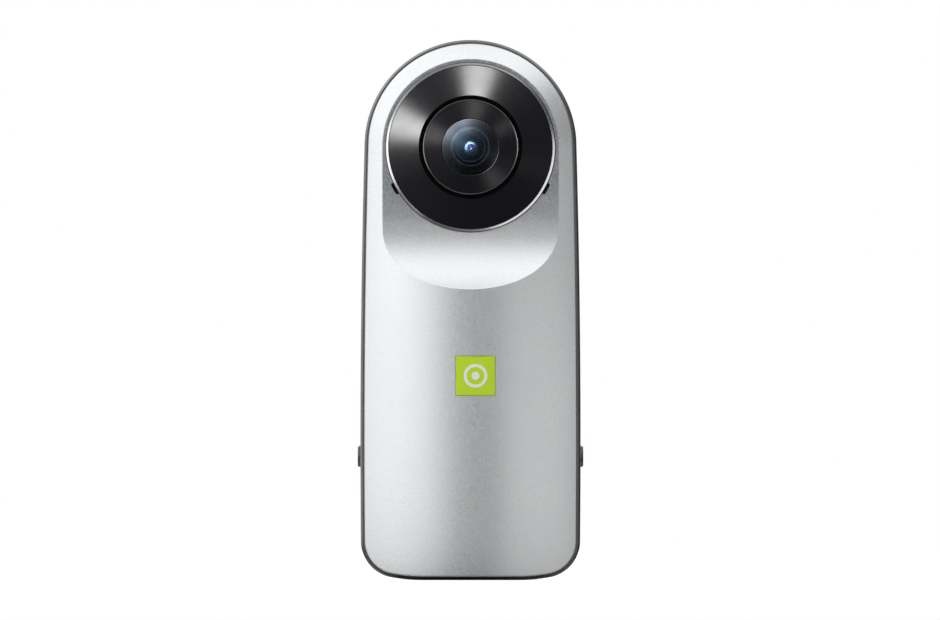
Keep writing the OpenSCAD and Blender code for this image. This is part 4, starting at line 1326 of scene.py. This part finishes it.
# %% [markdown]
# ## Studio
# The picture is a cut-out on pure white, so the floor and the room are white to the camera. To the
# camera's own surfaces the room is a tent: bright at the left and above, mid grey at the right, darker in
# front and dark below. It is a sum of soft steps along the direction of a ray, which is easier to shape
# than a room built of white sheets. Behind the object it is a little brighter, so the back is seen well.

# %% Light tent
tent = bpy.data.worlds.new("tent")
bpy.context.scene.world = tent
tent.use_nodes = True
tent.node_tree.nodes.clear()
shade = Shade(tent.node_tree)
dx, dy, dz = shade.add("ShaderNodeTexCoord", out="Generated").parts()
FRONT_GREY = 0.34
SHEET_GLOW = 1.00
RIGHT_GLOW = 0.04
REAR_GLOW = 0.30
CARD_GLOW = 0.45

leftward = 0 - dx
down = 0 - dz
left = 1.10 * leftward.above(0.03, 0.54) * (1 - 0.42 * leftward.above(0.66, 0.97))
left = left * (1 - 0.50 * leftward.above(0.86, 0.99))
top = dz.above(0.02, 0.60) * (dz - 0.75 * dx).above(-0.10, 0.25) * (1 - 0.55 * dz.above(0.75, 0.98))
sheets = 1 - (1 - left) * (1 - top)
right = dx.above(0.05, 0.42)
flag = dx.above(0.80, 0.95)
below = down.above(0.10, 0.60)
card = down.above(0.74, 0.95)
light = FRONT_GREY + SHEET_GLOW * sheets + RIGHT_GLOW * right + REAR_GLOW * dy.above(0.10, 0.60)
light = light * (1 - 0.92 * flag) * (1 - 0.75 * below) + CARD_GLOW * card
seen = shade.add("ShaderNodeLightPath", out="Is Camera Ray")
sky = shade.add("ShaderNodeBackground", None, {"Color": (0.985, 0.995, 1.0, 1.0), "Strength": light})
white = shade.add("ShaderNodeBackground", None, {"Color": (1.0, 1.0, 1.0, 1.0), "Strength": 1.0})
shade.add("ShaderNodeOutputWorld", None, {"Surface": seen.choose(sky, white)})
print("tent with a sheet at the left, one above and a flag at the right")

# %% [markdown]
# ## Lamps for single pieces
# In a studio, narrow lamps behind cards draw the streaks on turned metal and the glow in the glass. Here
# each such lamp is a far round one, linked to one group of pieces, and all but the one for the base show
# in gloss alone. A rough finish under a small lamp gives a soft streak with little grain.

# %% Lamps for single pieces
CONE_OFF = 2 * math.degrees(math.atan(cone_slope))
BARREL_OFF = 2 * math.degrees(math.atan(BARREL_RISE / (BARREL_R - dome_r)))
LAMPS = [
    ("cone", CONE_OFF, [(84, 15, 5.1), (161, 15, 5.4)]),
    ("barrel", BARREL_OFF, [(84, 8, 0.17), (160, 8, 0.24), (32, 6, 0.06), (308, 8, 0.10)]),
    ("ring", 38, [(195, 42, 2.40), (326, 50, 2.55), (272, 24, 0.10), (76, 30, 0.22), (152, 16, 0.12)]),
    ("edge", 60, [(178, 50, 2.00), (8, 40, 3.60), (86, 24, 0.40)]),
    ("bezel", 40, [(142, 36, 13.0)]),
    ("dome", 72, [(106, 8, 34.0), (146, 8, 34.0), (340, 8, 2.4)]),
    ("lens", 12, [(154, 4, 1.70)]),
    ("bead", 38, [(66, 6, 3.6), (98, 6, 5.6), (130, 6, 5.0), (162, 6, 5.6), (192, 6, 4.2)]),
    ("bead", 18, [(306, 3, 0.60)]),
    ("bead", 0, [(0, 30, 0.50)]),
    ("base", 35, [(270, 40, 0.30)]),
]


def piece_lamp(name, turn, off, wide, power, side, group):
    """Far round lamp, off degrees from the lens axis and turned from the right towards the top, that
    shines on one group of pieces alone, as a narrow lamp behind a card would."""
    lamp = bpy.data.lights.new(name, "SUN")
    lamp.energy, lamp.angle = power, math.radians(wide)
    made = placed(name, lamp)
    t, o = math.radians(turn), math.radians(off)
    way = Vector((math.sin(o) * math.cos(t), side * math.cos(o), math.sin(o) * math.sin(t)))
    made.rotation_euler = way.to_track_quat("Z", "Y").to_euler()
    made.light_linking.receiver_collection = group
    return made


groups = {}
for word, pieces in lit.items():
    groups[word] = bpy.data.collections.new(f"{word}_lit")
    for piece in pieces:
        groups[word].objects.link(piece)
strips = [(word, off, *strip) for word, off, rows in LAMPS for strip in rows]
for number, (word, off, turn, wide, power) in enumerate(strips):
    for side in (-1, 1):
        made = piece_lamp(f"{word}_lamp_{number}_{side + 1}", turn, off, wide, power, side, groups[word])
        made.visible_diffuse = word == "base"
print("lamps for single pieces:", 2 * len(strips))

# %% [markdown]
# ## Low fill
# A low panel at the right of each face lifts the lower half of the cover, as a white board there would.

# %% Low fill at the right
FILL_AT = (0.185, 0.236, 0.022)
FILL_SIZE = (0.24, 0.065)
FILL_GLOW = 0.60
for side in (-1, 1):
    panel = bpy.data.lights.new("fill", "AREA")
    panel.shape, panel.size, panel.size_y = "RECTANGLE", *FILL_SIZE
    panel.energy = FILL_GLOW * math.pi * FILL_SIZE[0] * FILL_SIZE[1]
    made = placed(f"fill_{side + 1}", panel)
    made.location = (FILL_AT[0], side * FILL_AT[1], FILL_AT[2])
    made.rotation_euler = Vector((FILL_AT[0], side * FILL_AT[1], 0)).to_track_quat("Z", "Y").to_euler()
    made.visible_camera = False
print("fill panels of", FILL_SIZE)

# %% [markdown]
# ## Floor
# A pale floor under the camera. It shows white to the viewer with only a trace of shadow, stays dark to
# the object so that the underside keeps its depth, and cannot be seen from below.

# %% Floor
FLOOR_R = 0.5
FLOOR_Z = -0.02
DARK_R = (0.030, 0.090)
DARK_X = -0.03
WINDOW = (0.4, 0.2)


def floor_finish(shade):
    """White to the viewer; to other rays dark near the object and clear further off, and from below. A
    window under the frame lets light reach the base."""
    x, y, _ = shade.place().parts()
    aside = x - DARK_X
    far = ((aside * aside + y * y) ** 0.5).above(*DARK_R)
    window = 1 - y.size().above(*((frame_y - margin) * MM for margin in WINDOW))
    seen = shade.add("ShaderNodeLightPath", out="Is Camera Ray")
    under = shade.add("ShaderNodeNewGeometry", out="Backfacing")
    aslant = shade.add("ShaderNodeLayerWeight", None, {"Blend": 0.5}, out="Facing").above(0.25, 0.75)
    dark = aslant.choose(shade.matt(grey(0.60)), shade.matt(grey(0.05)))
    clear = shade.add("ShaderNodeBsdfTransparent")
    glow = shade.add("ShaderNodeEmission", None, {"Color": grey(1.0), "Strength": 0.8})
    bright = shade.add("ShaderNodeAddShader", None, {0: shade.matt(grey(0.5)), 1: glow})
    table = far.most(window).choose(dark, clear)
    return under.choose(seen.choose(table, bright), clear)


def sheet(name, points, faces, finish):
    """Thin sheet of the studio, from points in metres."""
    mesh = bpy.data.meshes.new(name)
    mesh.from_pydata(points.reshape(-1, 3).tolist(), [], faces)
    mesh.materials.append(finish)
    return as_object(name, mesh)


rim = np.insert(disc(FLOOR_R, 96), 2, FLOOR_Z * MM, axis=1)
floor = sheet("floor", rim, [list(range(len(rim)))], paint("floor_pale", floor_finish))
print("floor", 2 * FLOOR_R, "m across")

# %% [markdown]
# ## Low card
# A card that stands below the table's edge at the left, out of the picture, takes some light from the
# lower corner of the cover.

# %% Low card at the left
CARD_X = -0.22
CARD_SPAN = (0.45, 0.20)
CARD_TOP = -0.020
u, v = np.meshgrid(np.linspace(-1, 1, 3), np.linspace(0, 1, 3))
card_points = xyz(CARD_X, CARD_SPAN[0] * u, CARD_TOP - CARD_SPAN[1] * v)
card_finish = paint("card_grey", moulded(grey(0.85), 0.9, shine=0.0))
low_card = sheet("low_card", card_points, grid_quads(3, 3, wrap_columns=False), card_finish)
low_card.visible_camera = False
low_card.visible_shadow = False
print("low card up to", CARD_TOP / MM, "mm")

# %% [markdown]
# ## Camera
# The picture was taken square on with a long lens, so the camera stands far off on the lens side, at the
# height of the picture's middle, and its lens is chosen to give the picture's scale.

# %% Camera
PICTURE_W = 940
PIXELS_PER_MM = 5.570
MIDDLE_X = -0.09
MIDDLE_Z = 48.50
DISTANCE = 4.0
SENSOR_W = 36.0
eye = bpy.data.cameras.new("eye")
eye.sensor_width = SENSOR_W
eye.lens = SENSOR_W * (DISTANCE - frame_y * MM) / (PICTURE_W / PIXELS_PER_MM * MM)
eye.clip_end = 20
viewer = placed("eye", eye)
viewer.location = (MIDDLE_X * MM, -DISTANCE, MIDDLE_Z * MM)
viewer.rotation_euler = (math.radians(90), 0, 0)
bpy.context.scene.camera = viewer
bpy.context.scene.view_settings.view_transform = "Standard"
print("lens", round(eye.lens, 1), "mm")
